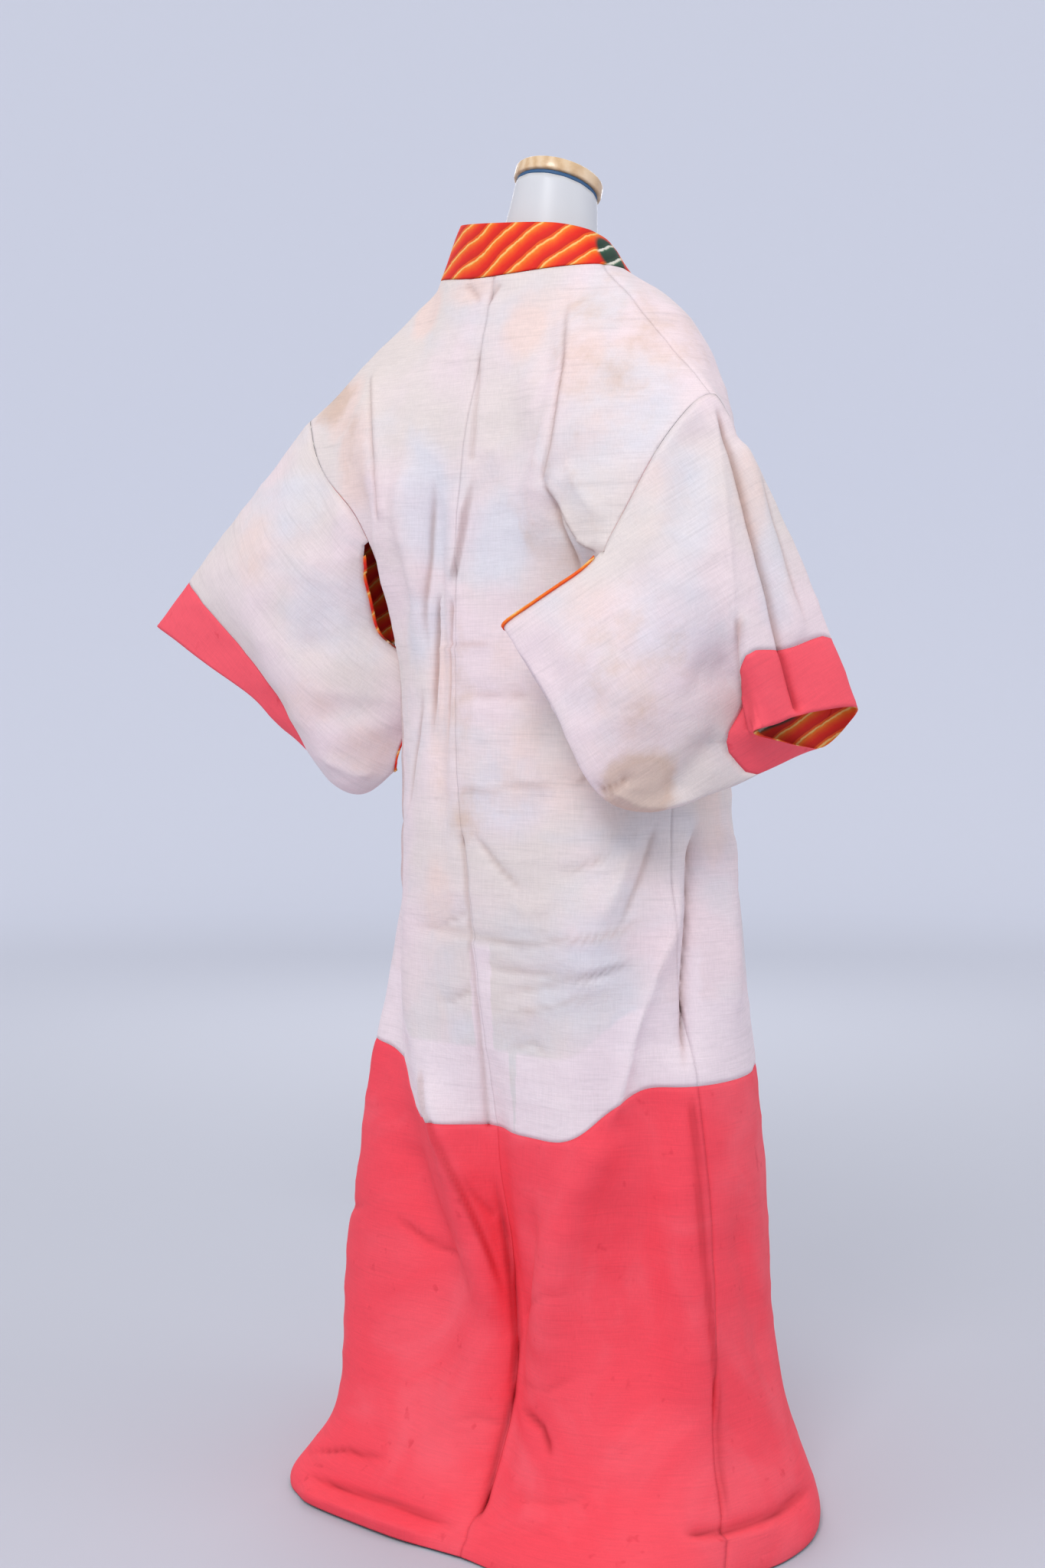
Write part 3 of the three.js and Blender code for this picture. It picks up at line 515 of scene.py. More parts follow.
def creased(name, mesh):
    tree = treeOf(mesh)
    points, normals = pointsOf(mesh), normalsOf(mesh)
    lift = unevenness(points, unevenKit) + seamLift(mesh, points)
    paintedFoldShade = np.zeros(len(points))
    moved = np.zeros(points.shape)
    for rows, asPath in ((creases, seenPath), (hiddenCreases, hiddenPath)):
        for crease in rows.get(name, []):
            made = creaseLift(points, normals, crease, asPath(crease["path"], tree), paintedFoldShade)
            if crease["push"]:
                moved += made[:, None] * np.array(eyeTurn.col[0]) * (1 if crease["push"] == "right" else -1)
            else:
                lift += made
    # the painted shade of the crease bottoms, kept for the materials
    foldShade = mesh.attributes.new("foldShade", "FLOAT", "POINT")
    foldShade.data.foreach_set("value", np.clip(paintedFoldShade, 0, 1).astype(np.float32))
    return points + normals * lift[:, None] + moved


# The form's cover, smooth, as a copy of its node
formKit = dict(levels=2, edge=0.9, joinAngle=40, edgeAngle=50, flatAngle=2, capRadius=0.002, bandRadius=0.0006)


def nodeCopy(node):
    copy = bmesh.new()
    copy.from_mesh(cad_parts[node].data)
    bmesh.ops.remove_doubles(copy, verts=copy.verts, dist=clothKit["sameSpot"])
    return copy


def smoothCopy(node, name):
    copy = nodeCopy(node)
    bmesh.ops.join_triangles(copy, faces=copy.faces[:], angle_face_threshold=math.radians(formKit["joinAngle"]),
                             angle_shape_threshold=math.pi)
    layer = copy.edges.layers.float.new("crease_edge")
    for edge in copy.edges:
        if edge.calc_face_angle(0) > math.radians(formKit["edgeAngle"]):
            edge[layer] = formKit["edge"]
    bmesh.ops.recalc_face_normals(copy, faces=copy.faces[:])
    fine = madeFine(asMesh(copy, name), formKit["levels"])
    fine.name = name
    return fine


formMesh = smoothCopy("form_torso", "formCover")
formTree = treeOf(formMesh)


def clearOfForm(points):
    gap = clothKit["clearOfForm"]
    for k, point in enumerate(points):
        spot, normal = formTree.find_nearest(Vector(point), 0.03)[:2]
        if spot is not None and (Vector(point) - spot).dot(normal) < gap:
            points[k] = np.array(spot + normal * gap)
    return points


for name, mesh in cloths.items():
    points = creased(name, mesh)
    if name in ("body", "collar"):
        points = clearOfForm(points)
    points[:, 2] = np.maximum(points[:, 2], clothKit["clearOfFloor"])
    mesh.vertices.foreach_set("co", points.reshape(-1))
    mesh.update()
print("cloth is creased")


# Each sleeve's inner edge is drawn to the body's armhole edge
def rimOf(mesh):
    uses = {}
    for face in mesh.polygons:
        for key in face.edge_keys:
            uses[key] = uses.get(key, 0) + 1
    return sorted({v for key, count in uses.items() if count == 1 for v in key})


def drawSleeveIn(sleeve, body, reach=0.006, gap=0.0004):
    finder = finderOf([body.vertices[v].co for v in rimOf(body)])
    for v in rimOf(sleeve):
        point = sleeve.vertices[v].co
        spot, _, away = finder.find(point)
        if gap < away < reach:
            sleeve.vertices[v].co = spot + (point - spot).normalized() * gap


for side in ("left", "right"):
    drawSleeveIn(cloths[f"sleeve_{side}"], cloths["body"])

# Marks on the lining: tan or peach stains of age, two wide faint tan ones of painted shade, or blue where the face
# cloth shows through.
# Each mark is its pixel in the photograph, across and down, its half width and half height in millimetres, and its
# strength.
ageAndShadeMarks = {
    "body": {
        # the wide faint tan mark at (819, 440) is painted shade on the right of the yoke, not a stain
        "tan": [(600, 922, 26, 100, 0.3), (604, 1034, 26, 60, 0.34), (440, 524, 40, 24, 0.62),
                (457, 573, 26, 40, 0.3), (819, 440, 100, 80, 0.3), (722, 655, 60, 110, 0.2)],
        "peach": [(561, 410, 26, 34, 0.9), (688, 430, 26, 30, 0.85), (614, 381, 40, 14, 0.6),
                  (451, 532, 30, 36, 0.9), (463, 598, 34, 50, 0.8), (763, 461, 30, 60, 0.6),
                  (809, 532, 60, 50, 0.4), (717, 401, 46, 30, 0.5), (580, 932, 24, 120, 0.55),
                  (819, 481, 60, 50, 0.5), (717, 1004, 90, 60, 0.45), (573, 1178, 30, 60, 0.5),
                  (707, 881, 60, 60, 0.4)],
        "blue": [(558, 655, 36, 60, 0.85), (553, 819, 40, 40, 0.6), (655, 707, 44, 50, 0.8),
                 (819, 532, 50, 60, 0.8), (655, 1034, 60, 40, 0.6), (778, 1290, 60, 60, 0.6),
                 (655, 1362, 70, 30, 0.6), (778, 1178, 50, 40, 0.5), (819, 1341, 26, 30, 0.7)],
    },
    "sleeve_right": {
        # the wide faint tan mark at (819, 881) is painted shade on the sleeve's lower part, not a stain
        "tan": [(840, 1029, 34, 34, 1), (819, 881, 70, 90, 0.26)],
        "peach": [(819, 942, 50, 60, 0.5), (778, 819, 50, 60, 0.45), (850, 655, 30, 50, 0.4),
                  (983, 635, 20, 60, 0.5)],
        "blue": [(901, 666, 30, 60, 0.7), (870, 799, 50, 50, 0.6), (1009, 737, 20, 70, 0.6)],
    },
    "sleeve_left": {
        "tan": [(369, 532, 60, 70, 0.3)],
        "peach": [(328, 717, 40, 40, 0.55), (440, 594, 26, 30, 0.6), (389, 922, 50, 40, 0.45),
                  (481, 983, 40, 30, 0.5)],
        "blue": [(389, 655, 50, 40, 0.6), (430, 799, 60, 50, 0.5)],
    },
}
# Marks on the hidden sides: degrees round from the back and metres of height take the pixel's place
hiddenMarks = {
    "body": {
        "tan": [(116, 1.12, 26, 30, 0.5), (168, 0.92, 16, 70, 0.5), (236, 0.7, 20, 34, 0.45)],
        "peach": [(150, 1.02, 40, 34, 0.8), (218, 1, 36, 50, 0.7), (196, 0.96, 34, 60, 0.6),
                  (160, 0.66, 44, 40, 0.55), (78, 0.72, 30, 60, 0.6), (268, 0.76, 24, 60, 0.5)],
        "blue": [(140, 1.02, 50, 60, 0.7), (222, 0.82, 56, 60, 0.7), (134, 0.72, 50, 50, 0.6),
                 (88, 0.92, 40, 60, 0.6)],
    },
    "sleeve_right": {
        "peach": [(248, 0.96, 40, 40, 0.6)],
        "blue": [(254, 1.1, 40, 50, 0.7)],
    },
    "sleeve_left": {
        "tan": [(108, 0.9, 26, 22, 0.55)],
        "peach": [(100, 1.16, 40, 40, 0.6)],
        "blue": [(112, 1.02, 50, 50, 0.7)],
    },
}
ageAndShadeChannels = dict(tan=0, peach=1, blue=2)
markFade = 1.6  # in half widths, from the middle of a mark to where it ends
bandKit = dict(height=0.088, edge=0.004, seamTop=0.53, bottom=0.3, top=0.7)


def newerCotton(mesh, points):
    seam = [v for v in sorted(seamPoints(mesh)) if points[v][2] < bandKit["seamTop"]]
    finder = finderOf([(points[v][0], points[v][1], 0) for v in seam])
    amount = np.zeros(len(points))
    for k, (x, y, z) in enumerate(points):
        if bandKit["bottom"] < z < bandKit["top"]:
            foot = points[seam[finder.find((x, y, 0))[1]]][2]
            amount[k] = np.clip((bandKit["height"] - z + foot) / bandKit["edge"] + 0.5, 0, 1)
    return amount


def markAmount(points, spot, size, strength):
    offset = points - np.array(spot)
    wide = np.hypot(offset[:, 0], offset[:, 1]) / (size[0] / 1000)
    high = offset[:, 2] / (size[1] / 1000)
    return strength * np.clip(markFade - np.hypot(wide, high), 0, 1)


def ageAndShadeColours(name, mesh):
    # red holds the tan marks, two of which are painted shade, green the peach ones and blue the see-through ones;
    # alpha is the newer cotton along the hem lining's seam
    tree = treeOf(mesh)
    points = pointsOf(mesh)
    colours = np.zeros((len(points), 4))
    if name == "body":
        colours[:, 3] = newerCotton(mesh, points)
    for table, asPath in ((ageAndShadeMarks, seenPath), (hiddenMarks, hiddenPath)):
        for kind, marks in table.get(name, {}).items():
            channel = ageAndShadeChannels[kind]
            for mark in marks:
                hits = asPath([mark[:2], mark[:2]], tree)
                if hits:
                    amount = markAmount(points, hits[0][0], mark[2:4], mark[4])
                    colours[:, channel] = np.maximum(colours[:, channel], amount)
                else:
                    print("mark at", mark[:2], "misses its cloth")
    layer = mesh.color_attributes.new("age", "FLOAT_COLOR", "POINT")
    layer.data.foreach_set("color", colours.reshape(-1).astype(np.float32))


# Shader helpers
def feed(tree, socket, value):  # value is another node's output, or what the socket itself is set to
    if isinstance(value, bpy.types.NodeSocket):
        tree.links.new(value, socket)
    elif socket.type == "RGBA" and len(value) == 3:
        socket.default_value = (*value, 1)
    else:
        socket.default_value = value


def addNode(tree, kind, inputs=None, **settings):
    made = tree.nodes.new(kind)
    for key, value in settings.items():
        setattr(made, key, value)
    for key, value in (inputs or {}).items():
        feed(tree, made.inputs[key], value)
    return made


def addRamp(tree, factor, stops):
    ramp = addNode(tree, "ShaderNodeValToRGB", {"Fac": factor})
    while len(ramp.color_ramp.elements) < len(stops):
        ramp.color_ramp.elements.new(0.5)
    for element, (position, colour) in zip(ramp.color_ramp.elements, stops):
        element.position = position
        element.color = (*colour, 1)
    return ramp.outputs["Color"]


def mixColour(tree, factor, first, second, blend="MIX"):
    made = addNode(tree, "ShaderNodeMix", {0: factor, 6: first, 7: second}, data_type="RGBA", blend_type=blend)
    return made.outputs[2]


def mathOf(tree, operation, first, second=0.0):
    return addNode(tree, "ShaderNodeMath", {0: first, 1: second}, operation=operation).outputs[0]


def times(tree, first, second):
    return mathOf(tree, "MULTIPLY", first, second)


def plus(tree, first, second):
    return mathOf(tree, "ADD", first, second)


def minus(tree, first, second):
    return mathOf(tree, "SUBTRACT", first, second)


def objectPlace(tree):
    return addNode(tree, "ShaderNodeTexCoord").outputs["Object"]


def stretched(tree, place, scale):
    return addNode(tree, "ShaderNodeVectorMath", {0: place, 1: scale}, operation="MULTIPLY").outputs[0]


def addNoise(tree, place, scale, detail, roughness=0.5, distortion=0.0):
    inputs = {"Vector": place, "Scale": scale, "Detail": detail, "Roughness": roughness, "Distortion": distortion}
    return addNode(tree, "ShaderNodeTexNoise", inputs).outputs["Fac"]


def addRampValue(tree, value, low, high):
    return addNode(tree, "ShaderNodeMapRange", {"Value": value, "From Min": low, "From Max": high},
                   interpolation_type="SMOOTHSTEP").outputs[0]


def newGroup(name, inputs, outputs):
    group = bpy.data.node_groups.new(name, "ShaderNodeTree")
    for socketName, kind, value in inputs:
        made = group.interface.new_socket(name=socketName, in_out="INPUT", socket_type=f"NodeSocket{kind}")
        if value is not None:
            made.default_value = value
    for socketName, kind in outputs:
        group.interface.new_socket(name=socketName, in_out="OUTPUT", socket_type=f"NodeSocket{kind}")
    start = group.nodes.new("NodeGroupInput")
    end = group.nodes.new("NodeGroupOutput")
    return group, start, end


def makeSlubWeave():
    # crossing threads of uneven thickness. Shade is about 0 either way, Height feeds a bump
    group, start, end = newGroup(
        "slubWeave",
        [("Vector", "Vector", None), ("Threads", "Float", 700.0), ("Run", "Float", 26.0), ("Slub", "Float", 0.5)],
        [("Shade", "Float"), ("Height", "Float")])
    threads, run = start.outputs["Threads"], start.outputs["Run"]
    fields = []
    for across, along in ((run, threads), (threads, run)):
        scale = addNode(group, "ShaderNodeCombineXYZ", {"X": across, "Y": across, "Z": along}).outputs[0]
        place = stretched(group, start.outputs["Vector"], scale)
        fields.append(minus(group, addNoise(group, place, 1.0, 3.0, roughness=0.65), 0.5))
    slub = addNoise(group, stretched(group, start.outputs["Vector"], (9, 9, 210)), 1.0, 2.0)
    thick = times(group, minus(group, slub, 0.56), 2.4)
    thick = times(group, mathOf(group, "MAXIMUM", thick, 0.0), start.outputs["Slub"])
    both = plus(group, fields[0], times(group, fields[1], 0.8))
    feed(group, end.inputs["Shade"], minus(group, both, thick))
    feed(group, end.inputs["Height"], plus(group, both, thick))
    return group


def makeBlotch():
    # breaks a soft mask's edge up, as damp leaves it, and darkens its rim
    group, start, end = newGroup(
        "blotch",
        [("Vector", "Vector", None), ("Mask", "Float", 0.0), ("Scale", "Float", 22.0), ("Break", "Float", 1.0)],
        [("Mask", "Float"), ("Rim", "Float")])
    field = addNoise(group, start.outputs["Vector"], start.outputs["Scale"], 4.0, roughness=0.6)
    shift = times(group, minus(group, field, 0.5), start.outputs["Break"])
    level = plus(group, start.outputs["Mask"], shift)
    seen = mathOf(group, "GREATER_THAN", start.outputs["Mask"], 0.02)
    mask = times(group, addRampValue(group, level, 0.15, 0.85), seen)
    rim = times(group, mask, minus(group, 1.0, addRampValue(group, level, 0.5, 0.9)))
    feed(group, end.inputs["Mask"], mask)
    feed(group, end.inputs["Rim"], rim)
    return group


slubWeave = makeSlubWeave()
blotch = makeBlotch()


def newMaterial(name):
    material = bpy.data.materials.new(name)
    material.use_nodes = True
    return material, material.node_tree


def setShader(tree, inputs, colour, normal=None):
    shader = tree.nodes["Principled BSDF"]
    feed(tree, shader.inputs["Base Color"], colour)
    if normal:
        feed(tree, shader.inputs["Normal"], normal)
    for key, value in inputs.items():
        feed(tree, shader.inputs[key], value)


def turnedPlace(tree, turn):  # object coordinates, turned so that the threads lie along the cloth
    place = objectPlace(tree)
    if turn == (0, 0, 0):
        return place
    angles = tuple(math.radians(a) for a in turn)
    return addNode(tree, "ShaderNodeMapping", {"Vector": place, "Rotation": angles}).outputs[0]


def addWeave(tree, place, threads, run, slub):
    inputs = {"Vector": place, "Threads": threads, "Run": run, "Slub": slub}
    made = addNode(tree, "ShaderNodeGroup", inputs, node_tree=slubWeave)
    return made.outputs["Shade"], made.outputs["Height"]


def shadeThreads(tree, colour, shade, share):
    light = plus(tree, times(tree, shade, share), 1.0)
    grey = addNode(tree, "ShaderNodeCombineColor", {"Red": light, "Green": light, "Blue": light})
    return mixColour(tree, 1.0, colour, grey.outputs[0], "MULTIPLY")


def addBump(tree, height, strength, distance, under=None):
    bump = addNode(tree, "ShaderNodeBump", {"Height": height, "Strength": strength, "Distance": distance})
    if under:
        feed(tree, bump.inputs["Normal"], under)
    return bump.outputs[0]


# the crease tone below is painted shade for the bottoms of the creases
liningKit = dict(cream=(0.76, 0.67, 0.63), pink=(0.84, 0.69, 0.71), grey=(0.70, 0.67, 0.69),
                 tan=(0.66, 0.47, 0.36), peach=(0.85, 0.65, 0.58), blue=(0.69, 0.70, 0.76), clean=(0.86, 0.73, 0.76),
                 foldShadeTone=(0.68, 0.58, 0.54), threads=(760.0, 40.0, 0.6), weaveShade=0.26, crumple=0.5,
                 crumpleDepth=0.004, bump=0.3, bumpDepth=0.0006, shine={"Roughness": 0.85, "Sheen Weight": 0.1})
markKit = dict(blue=("Blue", 0.6, 15.0), peach=("Green", 0.8, 17.0), tan=("Red", 1.0, 26.0))


def addMarks(tree, raw, colour, kit):
    # every kind of mark: its channel of the age and shade colours, its share and the size of its ragged edge
    age = addNode(tree, "ShaderNodeVertexColor", layer_name="age")
    parts = addNode(tree, "ShaderNodeSeparateColor", {"Color": age.outputs["Color"]})
    for key, (channel, share, size) in markKit.items():
        inputs = {"Vector": raw, "Mask": parts.outputs[channel], "Scale": size}
        mark = addNode(tree, "ShaderNodeGroup", inputs, node_tree=blotch)
        amount = times(tree, mark.outputs["Mask"], share)
        if key == "tan":
            amount = plus(tree, times(tree, amount, 0.7), times(tree, mark.outputs["Rim"], 0.35))
        colour = mixColour(tree, amount, colour, kit[key])
    return mixColour(tree, times(tree, age.outputs["Alpha"], 0.85), colour, kit["clean"])


def addFoldShade(tree, colour, tone):  # painted shade: the bottoms of the creases are darkened towards a tone
    foldShade = addNode(tree, "ShaderNodeAttribute", attribute_name="foldShade")
    return mixColour(tree, foldShade.outputs["Fac"], colour, mixColour(tree, 1.0, colour, tone, "MULTIPLY"))


def addCrumple(tree, place, height, kit):  # soft crossing wrinkles over the weave's own height
    wrinkle = addNoise(tree, place, 19.0, 4.0, roughness=0.55, distortion=0.9)
    under = addBump(tree, wrinkle, kit["crumple"], kit["crumpleDepth"])
    return addBump(tree, height, kit["bump"], kit["bumpDepth"], under)


def finishCotton(tree, place, raw, colour, kit):  # painted shade in the folds, threads and wrinkles, on either cotton
    colour = addFoldShade(tree, colour, kit["foldShadeTone"])
    shade, height = addWeave(tree, place, *kit["threads"])
    colour = shadeThreads(tree, colour, shade, kit["weaveShade"])
    setShader(tree, kit["shine"], colour, addCrumple(tree, raw, height, kit))


def makeLining(name, turn):
    kit = liningKit
    material, tree = newMaterial(name)
    place = turnedPlace(tree, turn)
    raw = objectPlace(tree)
    slow = addNoise(tree, raw, 3.6, 4.0, distortion=0.4)
    cloud = addNoise(tree, place, 9.0, 4.0, distortion=0.7)
    colour = mixColour(tree, addRampValue(tree, slow, 0.36, 0.6), kit["cream"], kit["pink"])
    colour = mixColour(tree, times(tree, addRampValue(tree, cloud, 0.46, 0.74), 0.7), colour, kit["grey"])
    colour = addMarks(tree, raw, colour, kit)
    finishCotton(tree, place, raw, colour, kit)
    return material


# the crease tone below is painted shade for the bottoms of the creases
coralKit = dict(plain=(0.93, 0.065, 0.096), worn=(0.94, 0.105, 0.140), deep=(0.72, 0.034, 0.058),
                foldShadeTone=(0.62, 0.40, 0.44), threads=(900.0, 40.0, 0.5), weaveShade=0.2, crumple=0.4,
                crumpleDepth=0.004, bump=0.25, bumpDepth=0.0004, shine={"Roughness": 0.7, "Specular IOR Level": 0.3})


def makeCoral(name, turn, lift=0.0):
    kit = coralKit
    material, tree = newMaterial(name)
    place = turnedPlace(tree, turn)
    raw = objectPlace(tree)
    wear = addNoise(tree, raw, 7.0, 4.0, distortion=0.8)
    spots = addNoise(tree, raw, 60.0, 2.0)
    worn = plus(tree, addRampValue(tree, wear, 0.42, 0.74), lift)
    colour = mixColour(tree, worn, kit["plain"], kit["worn"])
    colour = mixColour(tree, times(tree, addRampValue(tree, spots, 0.66, 0.78), 0.5), colour, kit["deep"])
    finishCotton(tree, place, raw, colour, kit)
    return material


# Face cloth: generic slanting stripes in red, orange and yellow, and in dark green and white
faceKit = dict(slant=(0.55, 0.4, 1.0), stripe=46.0, patch=7.5, roughness=0.65, gloss=0.25,
               warm=[(0.0, (0.60, 0.014, 0.008)), (0.32, (0.78, 0.022, 0.010)), (0.56, (0.86, 0.080, 0.010)),
                     (0.74, (0.88, 0.20, 0.015)), (0.83, (0.92, 0.62, 0.19)), (0.90, (0.80, 0.10, 0.01))],
               cool=[(0.0, (0.012, 0.035, 0.022)), (0.5, (0.020, 0.060, 0.035)), (0.62, (0.04, 0.12, 0.07)),
                     (0.70, (0.70, 0.68, 0.55)), (0.78, (0.75, 0.74, 0.66)), (0.84, (0.02, 0.05, 0.03))])


def makeFaceCloth():
    kit = faceKit
    material, tree = newMaterial("faceCloth")
    place = objectPlace(tree)
    wander = addNoise(tree, place, 14.0, 3.0)
    run = addNode(tree, "ShaderNodeVectorMath", {0: place, 1: kit["slant"]}, operation="DOT_PRODUCT")
    phase = plus(tree, times(tree, run.outputs["Value"], kit["stripe"]), times(tree, wander, 1.1))
    brush = addNoise(tree, place, 240.0, 3.0)
    saw = plus(tree, mathOf(tree, "FRACT", phase), times(tree, minus(tree, brush, 0.5), 0.12))
    field = addNoise(tree, place, kit["patch"], 1.0, distortion=0.4)
    colour = mixColour(tree, addRampValue(tree, field, 0.53, 0.56), addRamp(tree, saw, kit["warm"]),
                       addRamp(tree, saw, kit["cool"]))
    height = addWeave(tree, place, 800.0, 60.0, 0.2)[1]
    setShader(tree, {"Roughness": kit["roughness"], "Specular IOR Level": kit["gloss"]}, colour,
              addBump(tree, height, 0.25, 0.0004))
    return material


def makeFormCover():
    material, tree = newMaterial("formCover")
    place = objectPlace(tree)
    colour = mixColour(tree, addNoise(tree, place, 8.0, 3.0), (0.60, 0.61, 0.63), (0.66, 0.67, 0.69))
    grain = addNoise(tree, place, 900.0, 2.0)
    setShader(tree, {"Roughness": 0.38}, colour, addBump(tree, grain, 0.12, 0.0003))
    return material


def makeCapWood():
    material, tree = newMaterial("capWood")
    place = objectPlace(tree)
    inputs = {"Vector": place, "Scale": 26.0, "Distortion": 5.0, "Detail": 3.0, "Detail Scale": 1.4}
    rings = addNode(tree, "ShaderNodeTexWave", inputs, wave_type="BANDS", bands_direction="X")
    fibres = addNoise(tree, stretched(tree, place, (500, 26, 500)), 1.0, 3.0)
    tone = plus(tree, times(tree, rings.outputs["Fac"], 0.6), times(tree, fibres, 0.4))
    colour = addRamp(tree, tone, [(0.0, (0.80, 0.62, 0.42)), (0.5, (0.72, 0.51, 0.30)), (1.0, (0.58, 0.37, 0.19))])
    setShader(tree, {"Roughness": 0.35, "Coat Weight": 0.3}, colour, addBump(tree, fibres, 0.15, 0.0003))
    return material


def makeBand():
    material, tree = newMaterial("neckTape")
    height = addWeave(tree, objectPlace(tree), 1500.0, 300.0, 0.0)[1]
    setShader(tree, {"Roughness": 0.6}, mixColour(tree, height, (0.03, 0.10, 0.22), (0.06, 0.20, 0.36)))
    return material


def makeStandSteel():
    material, tree = newMaterial("standSteel")
    brushed = addNoise(tree, stretched(tree, objectPlace(tree), (30, 30, 900)), 1.0, 3.0)
    rough = addNode(tree, "ShaderNodeMapRange", {"Value": brushed, "To Min": 0.25, "To Max": 0.45})
    setShader(tree, {"Metallic": 1, "Roughness": rough.outputs[0]}, (0.62, 0.63, 0.64))
    return material


threadTurn = dict(body=(0, 0, 0), left=(0, 47, 0), right=(18, -28, 0))  # how far the threads lean, in degrees
liningOf = {"body": makeLining("liningBody", threadTurn["body"]),
            "sleeve_left": makeLining("liningLeft", threadTurn["left"]),
            "sleeve_right": makeLining("liningRight", threadTurn["right"])}
coralOf = {"body": makeCoral("coralHem", threadTurn["body"]),
           "sleeve_left": makeCoral("coralLeft", threadTurn["left"], 0.8),
           "sleeve_right": makeCoral("coralRight", threadTurn["right"], 0.8)}
faceCloth = makeFaceCloth()
print("materials are made")


# Parting the welded cloth into its pieces again, each a shell with the face cloth on its inside
def shellOf(name, mesh, number, outside, inside, thickness):
    part = bmesh.new()
    part.from_mesh(mesh)
    bmesh.ops.delete(part, geom=[f for f in part.faces if f.material_index != number], context="FACES")
    shadeSmooth(part.faces)
    made = asMesh(part, name)
    dress(made, outside, inside)
    shell = piece(name, made)
    wall = shell.modifiers.new("Cloth", "SOLIDIFY")
    wall.thickness = thickness
    wall.offset = -1
    wall.material_offset = 1
    wall.material_offset_rim = 1
    return shell


for name, mesh in cloths.items():
    ageAndShadeColours(name, mesh)

for number, node in enumerate(bodyNodes):
    panel, side, part = node.split("_")
    outside = liningOf["body"] if part == "lining" else coralOf["body"]
    shell = shellOf(f"{node}_cloth", cloths["body"], number, outside, faceCloth, clothKit["thickness"])
    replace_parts(shell, node)
for side in ("left", "right"):
    part = f"sleeve_{side}"
    for number, node in enumerate((part, f"cuff_{side}")):
        outside = (coralOf if number else liningOf)[part]
        shell = shellOf(f"{node}_cloth", cloths[part], number, outside, faceCloth,
                        clothKit["thickness"])
        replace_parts(shell, node)


# Face cloth rolled over the free edge of each sleeve, beside the body
pipingKit = dict(width=0.0035, thickness=0.0022, clearOfBody=0.012, inner=0.3, top=1.16)


def makePiping(side, kit):
    body = cloths["body"]
    finder = finderOf([body.vertices[v].co for v in rimOf(body)])
    strip = bmesh.new()
    strip.from_mesh(cloths[f"sleeve_{side}"])
    free = [e for e in strip.edges if e.is_boundary and e.link_faces[0].material_index == 0
            and all(abs(v.co.x) < kit["inner"] and v.co.z < kit["top"]
                    and finder.find(v.co)[2] > kit["clearOfBody"] for v in e.verts)]
    outward = {}
    for edge in free:
        inside = edge.link_faces[0].calc_center_median()
        for v in edge.verts:
            outward[v] = (v.co - inside).normalized()
    made = bmesh.ops.extrude_edge_only(strip, edges=free)["geom"]
    fresh = [v for v in made if isinstance(v, bmesh.types.BMVert)]
    known = list(outward)
    old = finderOf([v.co for v in known])
    for v in fresh:
        v.co += outward[known[old.find(v.co)[1]]] * kit["width"]
    keep = {f for f in made if isinstance(f, bmesh.types.BMFace)}
    bmesh.ops.delete(strip, geom=[f for f in strip.faces if f not in keep], context="FACES")
    shadeSmooth(strip.faces)
    mesh = asMesh(strip, f"piping_{side}")
    dress(mesh, faceCloth)
    piping = piece(f"piping_{side}", mesh)
    wall = piping.modifiers.new("Roll", "SOLIDIFY")
    wall.thickness = kit["thickness"]
    wall.offset = 0
    print("piping", side, "has", len(mesh.polygons), "faces")


for side in ("left", "right"):
    makePiping(side, pipingKit)
collar = shellOf("collar_cloth", cloths["collar"], 0, faceCloth, faceCloth,
                 clothKit["collarThickness"])
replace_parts(collar, "collar")
print("garment pieces are parted")


# The dress form
def asPiece(name, mesh, material, node):
    dress(mesh, material)
    for face in mesh.polygons:
        face.material_index = 0
        face.use_smooth = True
    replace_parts(piece(name, mesh), node)


def roundedCopy(node, name, radius):
    copy = nodeCopy(node)
    bmesh.ops.dissolve_limit(copy, angle_limit=math.radians(formKit["flatAngle"]), verts=copy.verts, edges=copy.edges)
    sharp = [e for e in copy.edges if e.calc_face_angle(0) > math.radians(formKit["edgeAngle"])]
    bmesh.ops.bevel(copy, geom=sharp, offset=radius, segments=3, profile=0.5, affect="EDGES", material=-1)
    return asMesh(copy, name)


asPiece("formCover", formMesh, makeFormCover(), "form_torso")
asPiece("neckCap", roundedCopy("neck_cap", "neckCap", formKit["capRadius"]), makeCapWood(), "neck_cap")
asPiece("neckTape", roundedCopy("neck_band", "neckTape", formKit["bandRadius"]), makeBand(), "neck_band")
standSteel = makeStandSteel()
for node in ("stand_pole", "stand_base"):
    dress(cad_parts[node].data, standSteel)
print("dress form is made")

# Floor and backdrop: a wide pale bowl all round
stageKit = dict(radius=7.0, curve=1.6, height=4.5, steps=8, colour=(0.53, 0.55, 0.62), roughness=0.9,
                glow=(0.60, 0.63, 0.73), glowShare=0.37, glowFrom=1.2, glowTo=6.4)


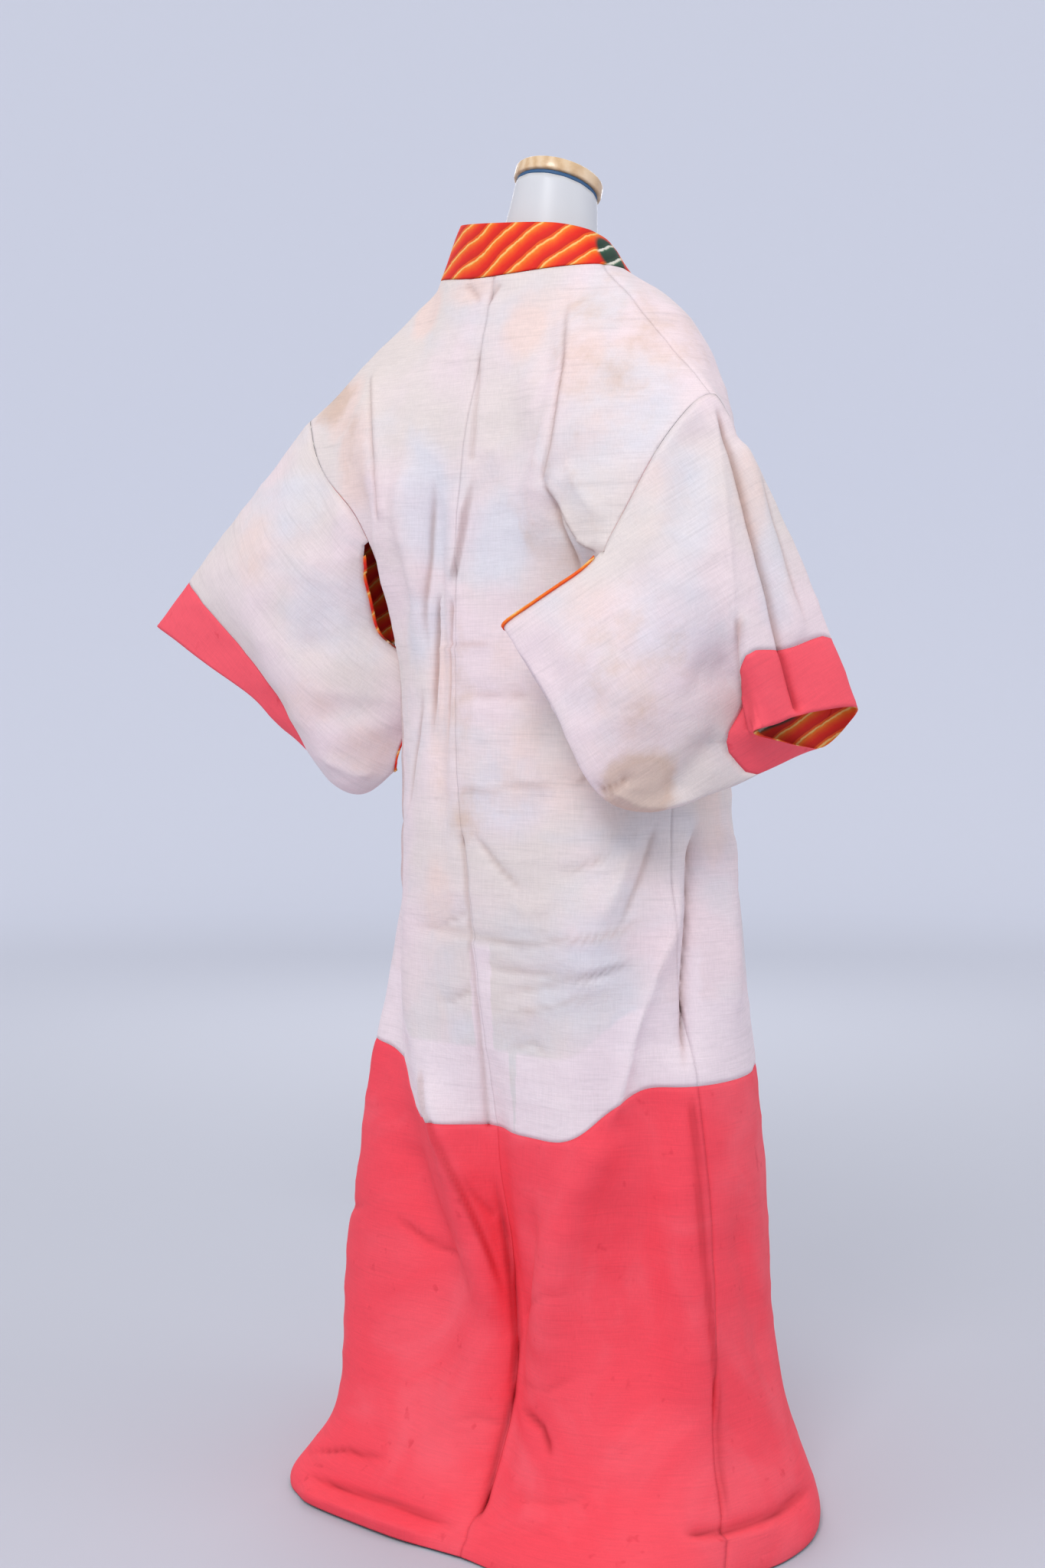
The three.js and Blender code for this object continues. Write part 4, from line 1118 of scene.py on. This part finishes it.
def makeStage(kit):
    bowl = bmesh.new()
    curve, flat = kit["curve"], kit["radius"] - kit["curve"]
    profile = [Vector((0.001, 0, 0)), Vector((flat, 0, 0))]
    for k in range(1, kit["steps"] + 1):
        turn = math.radians(90 * k / kit["steps"])
        profile.append(Vector((flat + curve * math.sin(turn), 0, curve * (1 - math.cos(turn)))))
    profile.append(Vector((kit["radius"], 0, kit["height"])))
    verts = [bowl.verts.new(p) for p in profile]
    edges = [bowl.edges.new(pair) for pair in zip(verts[:-1], verts[1:])]
    bmesh.ops.spin(bowl, geom=verts + edges, cent=(0, 0, 0), axis=(0, 0, 1), angle=math.tau, steps=64,
                   use_merge=True)
    bmesh.ops.remove_doubles(bowl, verts=bowl.verts, dist=0.002)
    bmesh.ops.recalc_face_normals(bowl, faces=bowl.faces)
    shadeSmooth(bowl.faces)
    mesh = asMesh(bowl, "backdrop")
    material, tree = newMaterial("backdropPaper")
    away = addNode(tree, "ShaderNodeVectorMath", {0: objectPlace(tree)}, operation="LENGTH").outputs["Value"]
    glow = mixColour(tree, addRampValue(tree, away, kit["glowFrom"], kit["glowTo"]), (0, 0, 0), kit["glow"])
    setShader(tree, {"Roughness": kit["roughness"], "Emission Color": glow, "Emission Strength": kit["glowShare"]},
              kit["colour"])
    mesh.materials.append(material)
    placed("backdrop", mesh)


makeStage(stageKit)

# Light: large soft lamps all round, the brightest to the camera's left and above. turn is in degrees from the
# front, and goes on past the wearer's left to the back
lampKit = [
    dict(name="keyLamp", turn=206, height=2.9, distance=2.6, size=1.1, power=40),
    dict(name="sideLamp", turn=290, height=2.0, distance=3.0, size=1.6, power=13),
    dict(name="fillLamp", turn=150, height=1.7, distance=3.4, size=2.0, power=14),
    dict(name="backLamp", turn=40, height=2.2, distance=3.2, size=2.2, power=26),
]
skyKit = dict(colour=(1.0, 0.985, 0.99), strength=0.72)


def makeLamp(name, turn, height, distance, size, power):
    data = bpy.data.lights.new(name, "AREA")
    data.shape = "DISK"
    data.size = size
    data.energy = power
    lamp = placed(name, data)
    angle = math.radians(turn)
    lamp.location = (distance * math.sin(angle), -distance * math.cos(angle), height)
    aim = Vector((0, 0, 0.7)) - lamp.location
    lamp.rotation_euler = aim.to_track_quat("-Z", "Y").to_euler()
    lamp.visible_camera = False


for kit in lampKit:
    makeLamp(**kit)
world = bpy.data.worlds.new("softSky")
world.use_nodes = True
sky = world.node_tree.nodes["Background"]
sky.inputs["Color"].default_value = (*skyKit["colour"], 1)
sky.inputs["Strength"].default_value = skyKit["strength"]
bpy.context.scene.world = world
bpy.context.scene.view_settings.view_transform = "Standard"
print("stage and light are set")

bpy.context.view_layer.update()
